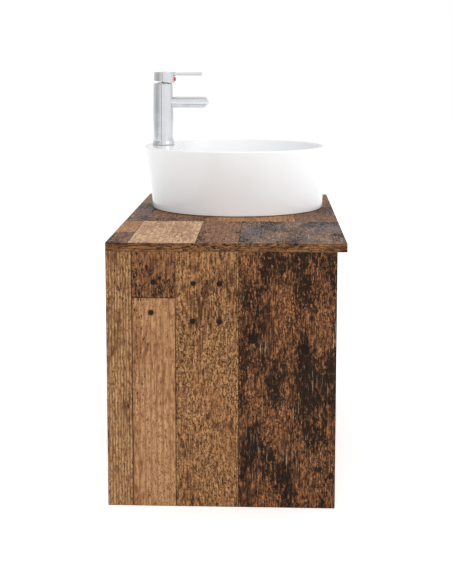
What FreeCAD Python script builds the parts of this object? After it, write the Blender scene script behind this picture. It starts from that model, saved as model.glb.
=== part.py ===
import FreeCAD, Part
import math
import os
import re
import Sketcher

# Vessel sink on a vanity cabinet, in millimetres.
# +X is the width (to the right of a person at the sink), -Y is the front, +Y is the wall, +Z is up.
# The origin is at the middle of the footprint, on the underside of the cabinet.

DRIVING_DIMENSIONS = {
    # cabinet boards
    "cabinet_width": 800,
    "panel_depth": 441.5,
    "cabinet_height": 504,
    "board": 15,
    "wall_y": 230,
    "worktop_depth": 460,
    "worktop_thickness": 16,
    "divider_x": -80,
    "back_rail_height": 80,
    "top_rail_depth": 60,
    "top_rail_setback": 41.5,
    "wall_hole_radius": 3.5,
    "wall_hole_spread": 600,
    # board joints
    "dowel_radius": 4,
    "dowel_length": 30,
    "dowel_sunk": 7.5,
    "dowel_spread": 150,
    "screw_radius": 2,
    "screw_head_radius": 4,
    "screw_head_height": 2,
    "screw_length": 23,
    "screw_end_x": 300,
    "screw_left_x": 130,
    "screw_right_x": 60,
    # fronts
    "front_setback": 1.5,
    "front_gap": 2.5,
    "front_spacing": 3,
    "grip_radius": 22,
    "grip_inset": 60,
    # door fittings
    "pivot_inset": 7.5,
    "pivot_edge_round": 4,
    "pivot_radius": 4,
    "pivot_length": 21.5,
    "pivot_in_door": 12,
    "bush_wall": 3,
    "bush_depth": 9,
    "bush_flange": 1,
    "bush_flange_height": 2.2,
    "running_gap": 0.05,
    "travel_gap": 0.3,
    "catch_top": 478,
    "catch_height": 36,
    "catch_width": 18,
    "catch_depth": 28,
    "strike_thickness": 1,
    # drawers
    "drawer_side_gap": 12.5,
    "drawer_board": 12,
    "drawer_length": 380,
    "drawer_side_height": 170,
    "drawer_bottom_rise": 10,
    "drawer_bottom_thickness": 5,
    "groove_depth": 5,
    "drawer_lift": 14,
    # runners and their rollers
    "runner_sheet": 1.2,
    "runner_height": 26,
    "runner_reach": 9.5,
    "runner_lip": 6,
    "runner_length": 360,
    "runner_front": 7,
    "runner_rise": 2,
    "roller_radius": 9,
    "roller_width": 7,
    "roller_offset": 10,
    "roller_web_gap": 1,
    "axle_radius": 2.5,
    "flange_reach": 6.3,
    "rear_roller_y": 166,
    # basin
    "basin_x": 160,
    "seal_height": 1,
    "seal_inset": 3,
    "seal_width": 19,
    "basin_height": 146,
    "foot_radius": 202.4,
    "foot_y": -5.7,
    "waist_radius": 208.2,
    "waist_y": -2.2,
    "waist_height": 95,
    "rim_radius": 214,
    "rim_y": 1.2,
    "rim_wall": 8,
    "rim_round": 3,
    "deck_front_y": 137.5,
    "bowl_corner": 52,
    "bowl_depth": 104,
    "bowl_taper": 8,
    "bowl_round": 38,
    "hollow_radius": 178,
    "hollow_depth": 26,
    "deck_thickness": 14,
    "deck_hollow_width": 52,
    "deck_hollow_front": 146,
    "deck_hollow_back": 190,
    # waste
    "waste_y": -30,
    "drain_hole_radius": 23,
    "drain_recess_radius": 33,
    "drain_recess_depth": 3,
    "worktop_drain_radius": 22.5,
    "waste_tube_radius": 20.9,
    "waste_bore": 18.5,
    "waste_flange_radius": 32,
    "waste_flange_height": 3.5,
    "waste_tail": 102,
    "waste_guide_radius": 6,
    "waste_guide_height": 20,
    "waste_spoke": 4,
    "plug_radius": 31,
    "plug_rim": 4,
    "plug_dome": 4,
    "plug_shoulder": 0.7,
    "plug_stem_radius": 4,
    "plug_stem_length": 34,
    "plug_travel_gap": 0.3,
    "waste_gasket_height": 3,
    "waste_gasket_radius": 30,
    "waste_nut_height": 12,
    "waste_nut_grooves": 16,
    "waste_nut_radius": 31,
    # bottle trap
    "trap_nut_radius": 27,
    "trap_nut_height": 22,
    "trap_nut_grooves": 18,
    "trap_nut_lip": 6,
    "tube_radius": 16,
    "tube_wall": 1.5,
    "dip_flange": 3.5,
    "dip_flange_radius": 20.5,
    "dip_length": 112,
    "trap_radius": 30,
    "trap_wall": 2.5,
    "trap_body_height": 60,
    "trap_body_top": 415,
    "trap_collar": 10,
    "outlet_z": 385,
    "outlet_stub": 22,
    "cup_depth": 62,
    "cup_thread": 12,
    "outlet_nut_radius": 24,
    "outlet_nut_length": 22,
    "outlet_nut_grooves": 16,
    "rosette_radius": 36,
    "rosette_depth": 6,
    "grip_rib": 1.4,
    # tap
    "tap_y": 171.4,
    "tap_hole_radius": 17.5,
    "tap_gasket_height": 1,
    "tap_gasket_radius": 25,
    "base_ring_radius": 26,
    "base_ring_height": 9.5,
    "base_ring_rim_share": 0.35,
    "base_ring_flare_share": 0.8,
    "column_radius": 24,
    "spigot_radius": 19.9,
    "column_top": 812,
    "column_round": 2.5,
    "chamber_radius": 17.6,
    "chamber_floor": 782,
    "nut_seat_radius": 20,
    "nut_height": 5,
    "nut_bore": 13,
    "collar_radius": 12.5,
    "collar_height": 6.5,
    "stem_width": 9,
    "stem_slack": 0.3,
    "stem_tilt_slack": 2,
    "stem_bottom": 807.8,
    "stem_top": 832,
    "spout_z": 767,
    "spout_radius": 13.35,
    "spout_bore": 7,
    "spout_back_y": 163,
    "nose_y": 62.5,
    "nose_top_y": 69.6,
    "nose_bottom_y": 76.2,
    "nose_brow_back": 0.3,
    "nose_brow_rise": 0.62,
    "outlet_port_y": 158,
    "port_radius": 5,
    "port_depth": 12,
    "port_spread": 8,
    "port_offset": 7,
    "passage_radius": 4,
    "aerator_radius": 7.8,
    "aerator_wall": 1.2,
    "aerator_length": 8,
    "aerator_proud": 1,
    "aerator_insert_length": 5,
    "stud_radius": 4,
    "stud_offset": 10,
    "stud_length": 59,
    "stud_sunk": 12,
    "washer_radius": 22,
    "washer_half_depth": 18.5,
    "washer_thickness": 3,
    "washer_slot": 28,
    "stud_nut_radius": 6.5,
    "stud_nut_height": 14,
    "stud_nut_grooves": 6,
    # lever
    "cap_radius": 25,
    "cap_y": 168.6,
    "cap_top": 839.4,
    "cap_front_z": 812.4,
    "cap_back_z": 818.2,
    "cap_recess_radius": 20.5,
    "cap_recess_top": 818.8,
    "cap_round": 2,
    "rod_radius": 4.15,
    "rod_z": 833.8,
    "rod_tip_y": 78.7,
    "rod_seat_y": 156,
    "rod_tip_round": 1.2,
    "marker_radius": 4.9,
    "marker_z": 821.8,
    "marker_proud": 3,
    "marker_sunk": 2.4,
    "grub_radius": 2.5,
}

document = FreeCAD.newDocument("vessel_sink_vanity")
sheet = document.addObject("Spreadsheet::Sheet", "Dims")
for row, (alias, value) in enumerate(DRIVING_DIMENSIONS.items(), start=1):
    sheet.set(f"A{row}", alias)
    sheet.set(f"B{row}", str(value))
    sheet.setAlias(f"B{row}", alias)
document.recompute()

sub_parts = []


# ---- sizes -------------------------------------------------------------------

def bound(expression):
    """The expression with each alias written as another object reads it from the sheet."""
    return re.sub(r"\b[a-z][a-z_]*\b(?!\()", lambda word: "Dims." + word.group(), str(expression))


def size(expression):
    """The number that an expression of the sheet's aliases stands for."""
    return float(sheet.evalExpression(str(expression)))


# Heights and places that several pieces share, as expressions of the driving dimensions.
WORKTOP_TOP = "(cabinet_height + worktop_thickness)"
BASIN_FOOT = f"({WORKTOP_TOP} + seal_height)"
DECK_TOP = f"({WORKTOP_TOP} + basin_height)"
FLOOR_TOP = f"({DECK_TOP} - bowl_depth)"
PANEL_FRONT = "(wall_y - panel_depth)"
FRONT_FACE = f"({PANEL_FRONT} + front_setback)"
FRONT_BACK = f"({FRONT_FACE} + board)"
INSIDE_LEFT = "(board - cabinet_width / 2)"
INSIDE_RIGHT = "(cabinet_width / 2 - board)"
DOOR_BAY_LEFT = "(divider_x + board)"
FRONT_BOTTOM = "(board + front_gap)"
DOOR_HEIGHT = "(cabinet_height - board - 2 * front_gap)"
DRAWER_FRONT_HEIGHT = f"(({DOOR_HEIGHT} - front_spacing) / 2)"
PIVOT_X = f"({INSIDE_RIGHT} - front_gap - pivot_inset)"
PIVOT_Y = f"({FRONT_FACE} + board / 2)"
TAP_FOOT = f"({DECK_TOP} + tap_gasket_height)"
WASTE_SEAT = f"({FLOOR_TOP} - drain_recess_depth)"
WASTE_END = f"({WASTE_SEAT} - waste_tail)"
DRAWER_LEFT = f"({INSIDE_LEFT} + drawer_side_gap)"
DRAWER_RIGHT = "(divider_x - drawer_side_gap)"

TO_X = (FreeCAD.Vector(0, 1, 0), 90)
TO_MINUS_X = (FreeCAD.Vector(0, 1, 0), -90)
TO_Y = (FreeCAD.Vector(1, 0, 0), -90)
TO_MINUS_Y = (FreeCAD.Vector(1, 0, 0), 90)
UPSIDE_DOWN = (FreeCAD.Vector(1, 0, 0), 180)
UPRIGHT = (FreeCAD.Vector(0, 0, 1), 0)


# ---- building blocks ---------------------------------------------------------

def place(item, position, turn=UPRIGHT):
    """Turn an object and bind its position to the sheet."""
    item.Placement = FreeCAD.Placement(FreeCAD.Vector(), FreeCAD.Rotation(*turn))
    for letter, expression in zip("xyz", position):
        item.setExpression(f"Placement.Base.{letter}", bound(expression))
    return item


def sub_part(item, label):
    """Name a finished piece and put it on the list of pieces to write."""
    item.Label = label
    sub_parts.append(item)
    return item


def box(name, low, lengths):
    """A rectangular block from its low corner."""
    block = document.addObject("Part::Box", name)
    for side, expression in zip(("Length", "Width", "Height"), lengths):
        block.setExpression(side, bound(expression))
    return place(block, low)


def rod(name, start, radius, length, turn=UPRIGHT):
    """A cylinder from the centre of its first end."""
    cylinder = document.addObject("Part::Cylinder", name)
    cylinder.setExpression("Radius", bound(radius))
    cylinder.setExpression("Height", bound(length))
    return place(cylinder, start, turn)


def cut(name, base, tools):
    """The base with each tool taken out of it in turn."""
    for number, tool in enumerate(tools, start=1):
        result = document.addObject("Part::Cut", f"{name}_cut_{number}")
        result.Base = base
        result.Tool = tool
        base = result
    return base


def fuse(name, pieces):
    """Pieces that are made as one solid."""
    result = document.addObject("Part::MultiFuse", name)
    result.Shapes = pieces
    return result


def group(name, pieces):
    """Separate solids that share one node."""
    result = document.addObject("Part::Compound", name)
    result.Links = pieces
    return result


def new_body(name):
    """An empty PartDesign body."""
    return document.addObject("PartDesign::Body", name)


def new_sketch(body, name, role, height="0"):
    """A sketch on one of the body's origin planes, raised along the plane's normal."""
    sketch = body.newObject("Sketcher::SketchObject", name)
    plane = next(feature for feature in body.Origin.OriginFeatures if feature.Role == role)
    sketch.AttachmentSupport = [(plane, "")]
    sketch.MapMode = "FlatFace"
    sketch.setExpression("AttachmentOffset.Base.z", bound(height))
    return sketch


def pin_point(sketch, geometry, end, position):
    """Hold one end of a sketch line, or a circle's centre, at a bound position."""
    for axis, kind, expression in zip((-2, -1), ("DistanceX", "DistanceY"), position):
        if abs(size(expression)) < 1e-9:
            sketch.addConstraint(Sketcher.Constraint("PointOnObject", geometry, end, axis))
            continue
        number = sketch.addConstraint(
            Sketcher.Constraint(kind, -1, 1, geometry, end, size(expression)))
        sketch.setExpression(f"Constraints[{number}]", bound(expression))


def draw_outline(sketch, outline):
    """A closed outline of straight lines with every corner bound to the sheet."""
    corners = [FreeCAD.Vector(size(across), size(up), 0) for across, up in outline]
    count = len(corners)
    for number in range(count):
        sketch.addGeometry(Part.LineSegment(corners[number], corners[(number + 1) % count]))
    for number in range(count):
        sketch.addConstraint(Sketcher.Constraint("Coincident", number, 2, (number + 1) % count, 1))
    for number, position in enumerate(outline):
        pin_point(sketch, number, 1, position)


def draw_circle(sketch, centre, radius):
    """A circle with its centre and radius bound to the sheet."""
    middle = FreeCAD.Vector(size(centre[0]), size(centre[1]), 0)
    circle = sketch.addGeometry(Part.Circle(middle, FreeCAD.Vector(0, 0, 1), size(radius)))
    pin_point(sketch, circle, 3, centre)
    number = sketch.addConstraint(Sketcher.Constraint("Radius", circle, size(radius)))
    sketch.setExpression(f"Constraints[{number}]", bound(radius))


def turned(name, outline, centre, turn=UPRIGHT):
    """A body turned about its own Z axis from an outline of (radius, height) corners."""
    body = new_body(name)
    sketch = new_sketch(body, f"{name}_section", "XZ_Plane")
    draw_outline(sketch, outline)
    revolution = body.newObject("PartDesign::Revolution", f"{name}_turned")
    revolution.Profile = sketch
    revolution.ReferenceAxis = (sketch, ["V_Axis"])
    revolution.Angle = 360
    sketch.Visibility = False
    return place(body, centre, turn)


def ring(name, inner, outer, height, centre, turn=UPRIGHT):
    """A plain ring or tube."""
    outline = [(inner, "0"), (outer, "0"), (outer, height), (inner, height)]
    return turned(name, outline, centre, turn)


def padded(name, role, outline, depth, corner):
    """A body padded from an outline on one of its origin planes."""
    body = new_body(name)
    sketch = new_sketch(body, f"{name}_section", role)
    draw_outline(sketch, outline)
    pad = body.newObject("PartDesign::Pad", f"{name}_pad")
    pad.Profile = sketch
    pad.setExpression("Length", bound(depth))
    return place(body, corner)


def pocket_circle(body, name, centre, radius, height, depth, upward):
    """A round pocket from a height in the body, downward or upward."""
    document.recompute()
    before = body.Shape.Volume
    sketch = new_sketch(body, f"{name}_circle", "XY_Plane", height)
    draw_circle(sketch, centre, radius)
    pocket = body.newObject("PartDesign::Pocket", name)
    pocket.Profile = sketch
    pocket.setExpression("Length", bound(depth))
    pocket.Reversed = upward
    document.recompute()
    if body.Shape.Volume >= before:
        raise RuntimeError(f"{name} cuts nothing")
    return pocket


def edge_names(shape, chosen):
    """The names of a shape's edges that a test picks."""
    return [f"Edge{number}" for number, edge in enumerate(shape.Edges, start=1) if chosen(edge)]


def round_edges(body, name, radius, chosen):
    """A PartDesign fillet on the edges that a test picks."""
    document.recompute()
    base = body.Tip
    fillet = body.newObject("PartDesign::Fillet", name)
    fillet.Base = (base, edge_names(base.Shape, chosen))
    fillet.setExpression("Radius", bound(radius))
    document.recompute()
    return fillet


def flat_at(height):
    """A test for edges that lie level at a height in the body."""
    def chosen(edge):
        limits = edge.BoundBox
        return abs(limits.ZMin - size(height)) < 0.01 and abs(limits.ZMax - size(height)) < 0.01
    return chosen


def add_grip(body, name, radius, height, count):
    """Finger grooves round a nut or cup: one half-round groove, repeated about the axis."""
    sketch = new_sketch(body, f"{name}_groove", "XY_Plane")
    draw_circle(sketch, (radius, "0"), "grip_rib")
    groove = body.newObject("PartDesign::Pocket", f"{name}_grip")
    groove.Profile = sketch
    groove.setExpression("Length", bound(height))
    groove.Reversed = True
    document.recompute()
    before = body.Shape.Volume
    pattern = body.newObject("PartDesign::PolarPattern", f"{name}_grips")
    pattern.Originals = [groove]
    pattern.Axis = (sketch, ["N_Axis"])
    pattern.Angle = 360
    pattern.setExpression("Occurrences", bound(count))
    body.Tip = pattern
    document.recompute()
    if body.Shape.Volume >= before:
        raise RuntimeError(f"{name} has no grip grooves")


# ---- cabinet -----------------------------------------------------------------

def make_dowels():
    """Wooden dowels that join the boards, half hidden in each."""
    pieces = []
    back_rail_y = "wall_y - board / 2"
    top_rail_y = f"{PANEL_FRONT} + top_rail_setback"
    floor_places = ("0 - dowel_spread", "0", "dowel_spread")
    rows = [(place_y, "board / 2") for place_y in floor_places]
    for part_in in ("1 / 4", "3 / 4"):
        rows.append((back_rail_y, f"board + back_rail_height * {part_in}"))
        rows.append((back_rail_y, f"cabinet_height - back_rail_height * {part_in}"))
        rows.append((f"{top_rail_y} + top_rail_depth * {part_in}", "cabinet_height - board / 2"))
    for number, (place_y, place_z) in enumerate(rows):
        left = (f"{INSIDE_LEFT} - dowel_sunk", place_y, place_z)
        right = (f"{INSIDE_RIGHT} + dowel_sunk", place_y, place_z)
        pieces.append(rod(f"dowel_left_{number}", left, "dowel_radius", "dowel_length", TO_X))
        pieces.append(rod(f"dowel_right_{number}", right, "dowel_radius", "dowel_length", TO_MINUS_X))
    for number, place_y in enumerate(floor_places):
        foot = ("divider_x + board / 2", place_y, "board - dowel_sunk")
        pieces.append(rod(f"dowel_divider_{number}", foot, "dowel_radius", "dowel_length"))
    return sub_part(group("dowel_group", pieces), "panel_dowels")


def make_worktop_screws():
    """Screws up through the front rail into the worktop."""
    outline = [
        ("0", "0"), ("screw_head_radius", "0"), ("screw_head_radius", "screw_head_height"),
        ("screw_radius", "screw_head_height"), ("screw_radius", "screw_head_height + screw_length"),
        ("0", "screw_head_height + screw_length")]
    pieces = []
    places = ("0 - screw_end_x", "0 - screw_left_x", "screw_right_x", "screw_end_x")
    for number, place_x in enumerate(places):
        foot = (place_x, f"{PANEL_FRONT} + top_rail_setback + top_rail_depth / 2",
                "cabinet_height - board - screw_head_height")
        pieces.append(turned(f"worktop_screw_{number}", outline, foot))
    return sub_part(group("worktop_screw_group", pieces), "worktop_screws")


def make_pivot_bushes():
    """Two flanged bushes, one in the bottom board and one turned over in the worktop, and their holes."""
    inner = "pivot_radius + running_gap"
    outer = "pivot_radius + bush_wall"
    outline = [
        (inner, "0 - bush_depth"), (outer, "0 - bush_depth"), (outer, "0"),
        (f"{outer} + bush_flange", "0"), (f"{outer} + bush_flange", "bush_flange_height"),
        (inner, "bush_flange_height")]
    lower = turned("lower_pivot_bush", outline, (PIVOT_X, PIVOT_Y, "board"))
    upper = turned("upper_pivot_bush", outline, (PIVOT_X, PIVOT_Y, "cabinet_height"), UPSIDE_DOWN)
    sub_part(group("pivot_bush_group", [lower, upper]), "door_pivot_bushes")
    lower_hole = rod("lower_bush_hole", (PIVOT_X, PIVOT_Y, "board - bush_depth"), outer, "bush_depth")
    upper_hole = rod("upper_bush_hole", (PIVOT_X, PIVOT_Y, "cabinet_height"), outer, "bush_depth")
    return lower_hole, upper_hole


def make_cabinet(dowels, screws, bush_holes):
    """The boards of the cabinet, bored for their dowels, screws and bushes."""
    lower_bush_hole, upper_bush_hole = bush_holes
    side = ("board", "panel_depth", "cabinet_height")
    left = box("left_side_board", ("0 - cabinet_width / 2", PANEL_FRONT, "0"), side)
    right = box("right_side_board", (INSIDE_RIGHT, PANEL_FRONT, "0"), side)
    inside = "cabinet_width - 2 * board"
    bottom = box("bottom_board", (INSIDE_LEFT, PANEL_FRONT, "0"), (inside, "panel_depth", "board"))
    rail = (inside, "board", "back_rail_height")
    hanging = box("hanging_board", (INSIDE_LEFT, "wall_y - board", "cabinet_height - back_rail_height"), rail)
    lower = box("lower_board", (INSIDE_LEFT, "wall_y - board", "board"), rail)
    front = box("front_rail_board",
                (INSIDE_LEFT, f"{PANEL_FRONT} + top_rail_setback", "cabinet_height - board"),
                (inside, "top_rail_depth", "board"))
    sub_part(cut("front_rail", front, [dowels, screws]), "front_top_rail")
    divider = box("divider_board", ("divider_x", PANEL_FRONT, "board"),
                  ("board", "panel_depth - board", "cabinet_height - board"))
    wall_holes = []
    for number, sign in enumerate(("-1", "1")):
        for level, height in (("high", "cabinet_height - back_rail_height / 2"),
                              ("low", "board + back_rail_height / 2")):
            start = (f"wall_hole_spread / 2 * {sign}", "wall_y - board", height)
            wall_holes.append(rod(f"wall_hole_{level}_{number}", start, "wall_hole_radius", "board", TO_Y))
    sub_part(cut("left_side", left, [dowels]), "left_side_panel")
    sub_part(cut("right_side", right, [dowels]), "right_side_panel")
    sub_part(cut("bottom", bottom, [dowels, lower_bush_hole]), "bottom_panel")
    sub_part(cut("hanging", hanging, [dowels] + wall_holes), "hanging_rail")
    sub_part(cut("lower", lower, [dowels] + wall_holes), "lower_back_rail")
    sub_part(cut("divider", divider, [dowels, front]), "divider_panel")
    top = box("worktop_board", ("0 - cabinet_width / 2", "wall_y - worktop_depth", "cabinet_height"),
              ("cabinet_width", "worktop_depth", "worktop_thickness"))
    drain = rod("worktop_drain_hole", ("basin_x", "waste_y", "cabinet_height"),
                "worktop_drain_radius", "worktop_thickness")
    hoses = rod("worktop_hose_hole", ("basin_x", "tap_y", "cabinet_height"),
                "tap_hole_radius", "worktop_thickness")
    sub_part(cut("worktop_finished", top, [drain, hoses, screws, upper_bush_hole]), "worktop")


# ---- door --------------------------------------------------------------------

def make_door():
    """The inset door, its pivot pins, its strike plate and the magnetic catch on the divider."""
    width = f"{INSIDE_RIGHT} - {DOOR_BAY_LEFT} - 2 * front_gap"
    outline = [("0", "0"), (width, "0"), (width, "board"), ("0", "board")]
    corner = (f"{DOOR_BAY_LEFT} + front_gap", FRONT_FACE, FRONT_BOTTOM)
    leaf = padded("door_leaf", "XY_Plane", outline, DOOR_HEIGHT, corner)

    def pivot_edge(edge):
        limits = edge.BoundBox
        return abs(limits.XMin - size(width)) < 0.01 and limits.ZLength > size(DOOR_HEIGHT) / 2

    round_edges(leaf, "pivot_side_round", "pivot_edge_round", pivot_edge)
    grip = rod("door_grip", (f"{DOOR_BAY_LEFT} + grip_inset", FRONT_FACE, f"{FRONT_BOTTOM} + {DOOR_HEIGHT}"),
               "grip_radius", "board", TO_Y)
    door_top = f"{FRONT_BOTTOM} + {DOOR_HEIGHT}"
    pins = [
        rod("upper_pivot", (PIVOT_X, PIVOT_Y, f"{door_top} - pivot_in_door"), "pivot_radius", "pivot_length"),
        rod("lower_pivot", (PIVOT_X, PIVOT_Y, f"{FRONT_BOTTOM} + pivot_in_door - pivot_length"),
            "pivot_radius", "pivot_length")]
    pivots = sub_part(group("pivot_group", pins), "door_pivots")
    sub_part(cut("door_finished", leaf, [grip, pivots]), "door")
    sub_part(box("strike_plate", (f"{DOOR_BAY_LEFT} + front_gap + strike_thickness", FRONT_BACK,
                                  "catch_top - catch_height"),
                 ("catch_width - front_gap", "strike_thickness", "catch_height")), "door_strike")
    body = box("catch_block", (DOOR_BAY_LEFT, f"{FRONT_BACK} + strike_thickness + travel_gap",
                               "catch_top - catch_height"),
               ("catch_width", "catch_depth", "catch_height"))
    rounded = document.addObject("Part::Fillet", "catch_rounded")
    rounded.Base = body
    document.recompute()
    uprights = [number for number, edge in enumerate(body.Shape.Edges, start=1)
                if edge.BoundBox.ZLength > size("catch_height") / 2]
    rounded.Edges = [(number, size("strike_thickness"), size("strike_thickness")) for number in uprights]
    sub_part(rounded, "door_catch")


# ---- drawers -----------------------------------------------------------------

def make_drawer(name, front_bottom):
    """One drawer: its boards, its pair of runners, and the rollers in front and behind."""
    side_bottom = f"({front_bottom} + drawer_lift)"
    bottom = box(f"{name}_bottom_board",
                 (f"{DRAWER_LEFT} + drawer_board - groove_depth", f"{FRONT_BACK} - groove_depth",
                  f"{side_bottom} + drawer_bottom_rise"),
                 (f"{DRAWER_RIGHT} - {DRAWER_LEFT} - 2 * drawer_board + 2 * groove_depth",
                  "drawer_length - drawer_board + 2 * groove_depth", "drawer_bottom_thickness"))
    sub_part(bottom, f"{name}_drawer_bottom")
    sides = []
    for hand, place_x in (("left", DRAWER_LEFT), ("right", f"{DRAWER_RIGHT} - drawer_board")):
        board = box(f"{name}_{hand}_board", (place_x, FRONT_BACK, side_bottom),
                    ("drawer_board", "drawer_length", "drawer_side_height"))
        sides.append(cut(f"{name}_{hand}_side", board, [bottom]))
    sub_part(group(f"{name}_sides", sides), f"{name}_drawer_sides")
    back = box(f"{name}_back_board",
               (f"{DRAWER_LEFT} + drawer_board", f"{FRONT_BACK} + drawer_length - drawer_board", side_bottom),
               (f"{DRAWER_RIGHT} - {DRAWER_LEFT} - 2 * drawer_board", "drawer_board", "drawer_side_height"))
    sub_part(cut(f"{name}_back", back, [bottom]), f"{name}_drawer_back")
    front = box(f"{name}_front_board", (f"{INSIDE_LEFT} + front_gap", FRONT_FACE, front_bottom),
                (f"divider_x - {INSIDE_LEFT} - 2 * front_gap", "board", DRAWER_FRONT_HEIGHT))
    grip = rod(f"{name}_grip", (f"({INSIDE_LEFT} + divider_x) / 2", FRONT_FACE,
                                f"{front_bottom} + {DRAWER_FRONT_HEIGHT}"), "grip_radius", "board", TO_Y)
    sub_part(cut(f"{name}_front", front, [bottom, grip]), f"{name}_drawer_front")
    make_runners(name, side_bottom)


def channel_outline(hand):
    """Section of a cabinet runner: a web on the board, a track below and a lip above."""
    sheet_in = f"{hand} * runner_sheet"
    return [
        ("0", "0"), (f"{hand} * runner_reach", "0"), (f"{hand} * runner_reach", "runner_sheet"),
        (sheet_in, "runner_sheet"), (sheet_in, "runner_height - runner_sheet"),
        (f"{hand} * runner_lip", "runner_height - runner_sheet"), (f"{hand} * runner_lip", "runner_height"),
        ("0", "runner_height")]


def carrier_outline(hand):
    """Section of a drawer runner: a flange under the drawer side, a web, and a flange that rides above."""
    rail_top = "runner_rise + runner_sheet + 2 * travel_gap + 2 * roller_radius + runner_rise"
    web = f"0 - {hand} * runner_sheet"
    return [
        (f"{hand} * drawer_board", "0 - runner_sheet"), (f"{hand} * drawer_board", "0"), ("0", "0"),
        ("0", f"{rail_top} + runner_sheet"), (f"0 - {hand} * flange_reach", f"{rail_top} + runner_sheet"),
        (f"0 - {hand} * flange_reach", rail_top), (web, rail_top), (web, "0 - runner_sheet")]


def make_runners(name, side_bottom):
    """The fixed and moving runners of one drawer, left and right, with their rollers."""
    track_z = f"({side_bottom} + runner_rise)"
    front_z = f"({side_bottom} + 2 * runner_rise + runner_sheet + travel_gap + roller_radius)"
    rear_z = f"({track_z} + runner_sheet + travel_gap + roller_radius)"
    front_y = f"({FRONT_BACK} + runner_front + roller_offset)"
    bore = "axle_radius + running_gap"
    fixed, moving, front_rollers, rear_rollers = [], [], [], []
    hands = (("left", 1, INSIDE_LEFT, DRAWER_LEFT, TO_X, TO_MINUS_X),
             ("right", -1, "divider_x", DRAWER_RIGHT, TO_MINUS_X, TO_X))
    for label, hand, wall_x, drawer_x, inward, outward in hands:
        key = f"{name}_{label}"
        channel = padded(f"{key}_channel", "XZ_Plane", channel_outline(hand), "runner_length",
                         (wall_x, f"{FRONT_BACK} + runner_front + runner_length", track_z))
        front_start = f"{wall_x} + {hand} * runner_sheet / 2"
        front_axle = rod(f"{key}_front_axle", (front_start, front_y, front_z), "axle_radius",
                         "runner_reach", inward)
        fixed.append(fuse(f"{key}_fixed", [channel, front_axle]))
        carrier = padded(f"{key}_carrier", "XZ_Plane", carrier_outline(hand), "drawer_length - roller_offset",
                         (drawer_x, f"{FRONT_BACK} + drawer_length", side_bottom))
        rear_start = f"{drawer_x} - {hand} * runner_sheet / 2"
        rear_axle = rod(f"{key}_rear_axle", (rear_start, "rear_roller_y", rear_z), "axle_radius",
                        "runner_reach", outward)
        moving.append(fuse(f"{key}_moving", [carrier, rear_axle]))
        roller_x = f"{wall_x} + {hand} * (runner_sheet + roller_web_gap)"
        front_rollers.append(ring(f"{key}_front_roller", bore, "roller_radius", "roller_width",
                                  (roller_x, front_y, front_z), inward))
        rear_rollers.append(ring(f"{key}_rear_roller", bore, "roller_radius", "roller_width",
                                 (roller_x, "rear_roller_y", rear_z), inward))
    sub_part(group(f"{name}_fixed_pair", fixed), f"{name}_cabinet_runners")
    sub_part(group(f"{name}_moving_pair", moving), f"{name}_drawer_runners")
    sub_part(group(f"{name}_front_roller_pair", front_rollers), f"{name}_front_rollers")
    sub_part(group(f"{name}_rear_roller_pair", rear_rollers), f"{name}_rear_rollers")


# ---- basin -------------------------------------------------------------------

def draw_bowl_outline(sketch, radius, centre_y, chord_y, corner):
    """A circle cut off by a straight line at the deck, with rounded corners where they meet."""
    across = ((radius - corner) ** 2 - (chord_y - corner - centre_y) ** 2) ** 0.5
    middle = FreeCAD.Vector(0, centre_y, 0)
    normal = FreeCAD.Vector(0, 0, 1)
    right = FreeCAD.Vector(across, chord_y - corner, 0)
    left = FreeCAD.Vector(-across, chord_y - corner, 0)
    angle = FreeCAD.Vector(1, 0, 0).getAngle(right - middle)
    arcs = [
        Part.ArcOfCircle(Part.Circle(middle, normal, radius), math.pi - angle, 2 * math.pi + angle),
        Part.ArcOfCircle(Part.Circle(right, normal, corner), angle, math.pi / 2),
        Part.ArcOfCircle(Part.Circle(left, normal, corner), math.pi / 2, math.pi - angle)]
    for arc in arcs:
        sketch.addGeometry(arc)
    ends = (FreeCAD.Vector(across, chord_y, 0), FreeCAD.Vector(-across, chord_y, 0))
    sketch.addGeometry(Part.LineSegment(*ends))
    for first, first_end, second, second_end in ((0, 2, 1, 1), (1, 2, 3, 1), (3, 2, 2, 1), (2, 2, 0, 1)):
        sketch.addConstraint(Sketcher.Constraint("Tangent", first, first_end, second, second_end))
    pin_point(sketch, 0, 3, ("0", "rim_y"))
    for arc, expression in ((0, "rim_radius - rim_wall"), (1, "bowl_corner"), (2, "bowl_corner")):
        number = sketch.addConstraint(Sketcher.Constraint("Radius", arc, size(expression)))
        sketch.setExpression(f"Constraints[{number}]", bound(expression))
    number = sketch.addConstraint(Sketcher.Constraint("DistanceY", -1, 1, 3, 1, chord_y))
    sketch.setExpression(f"Constraints[{number}]", bound("deck_front_y"))


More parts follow.
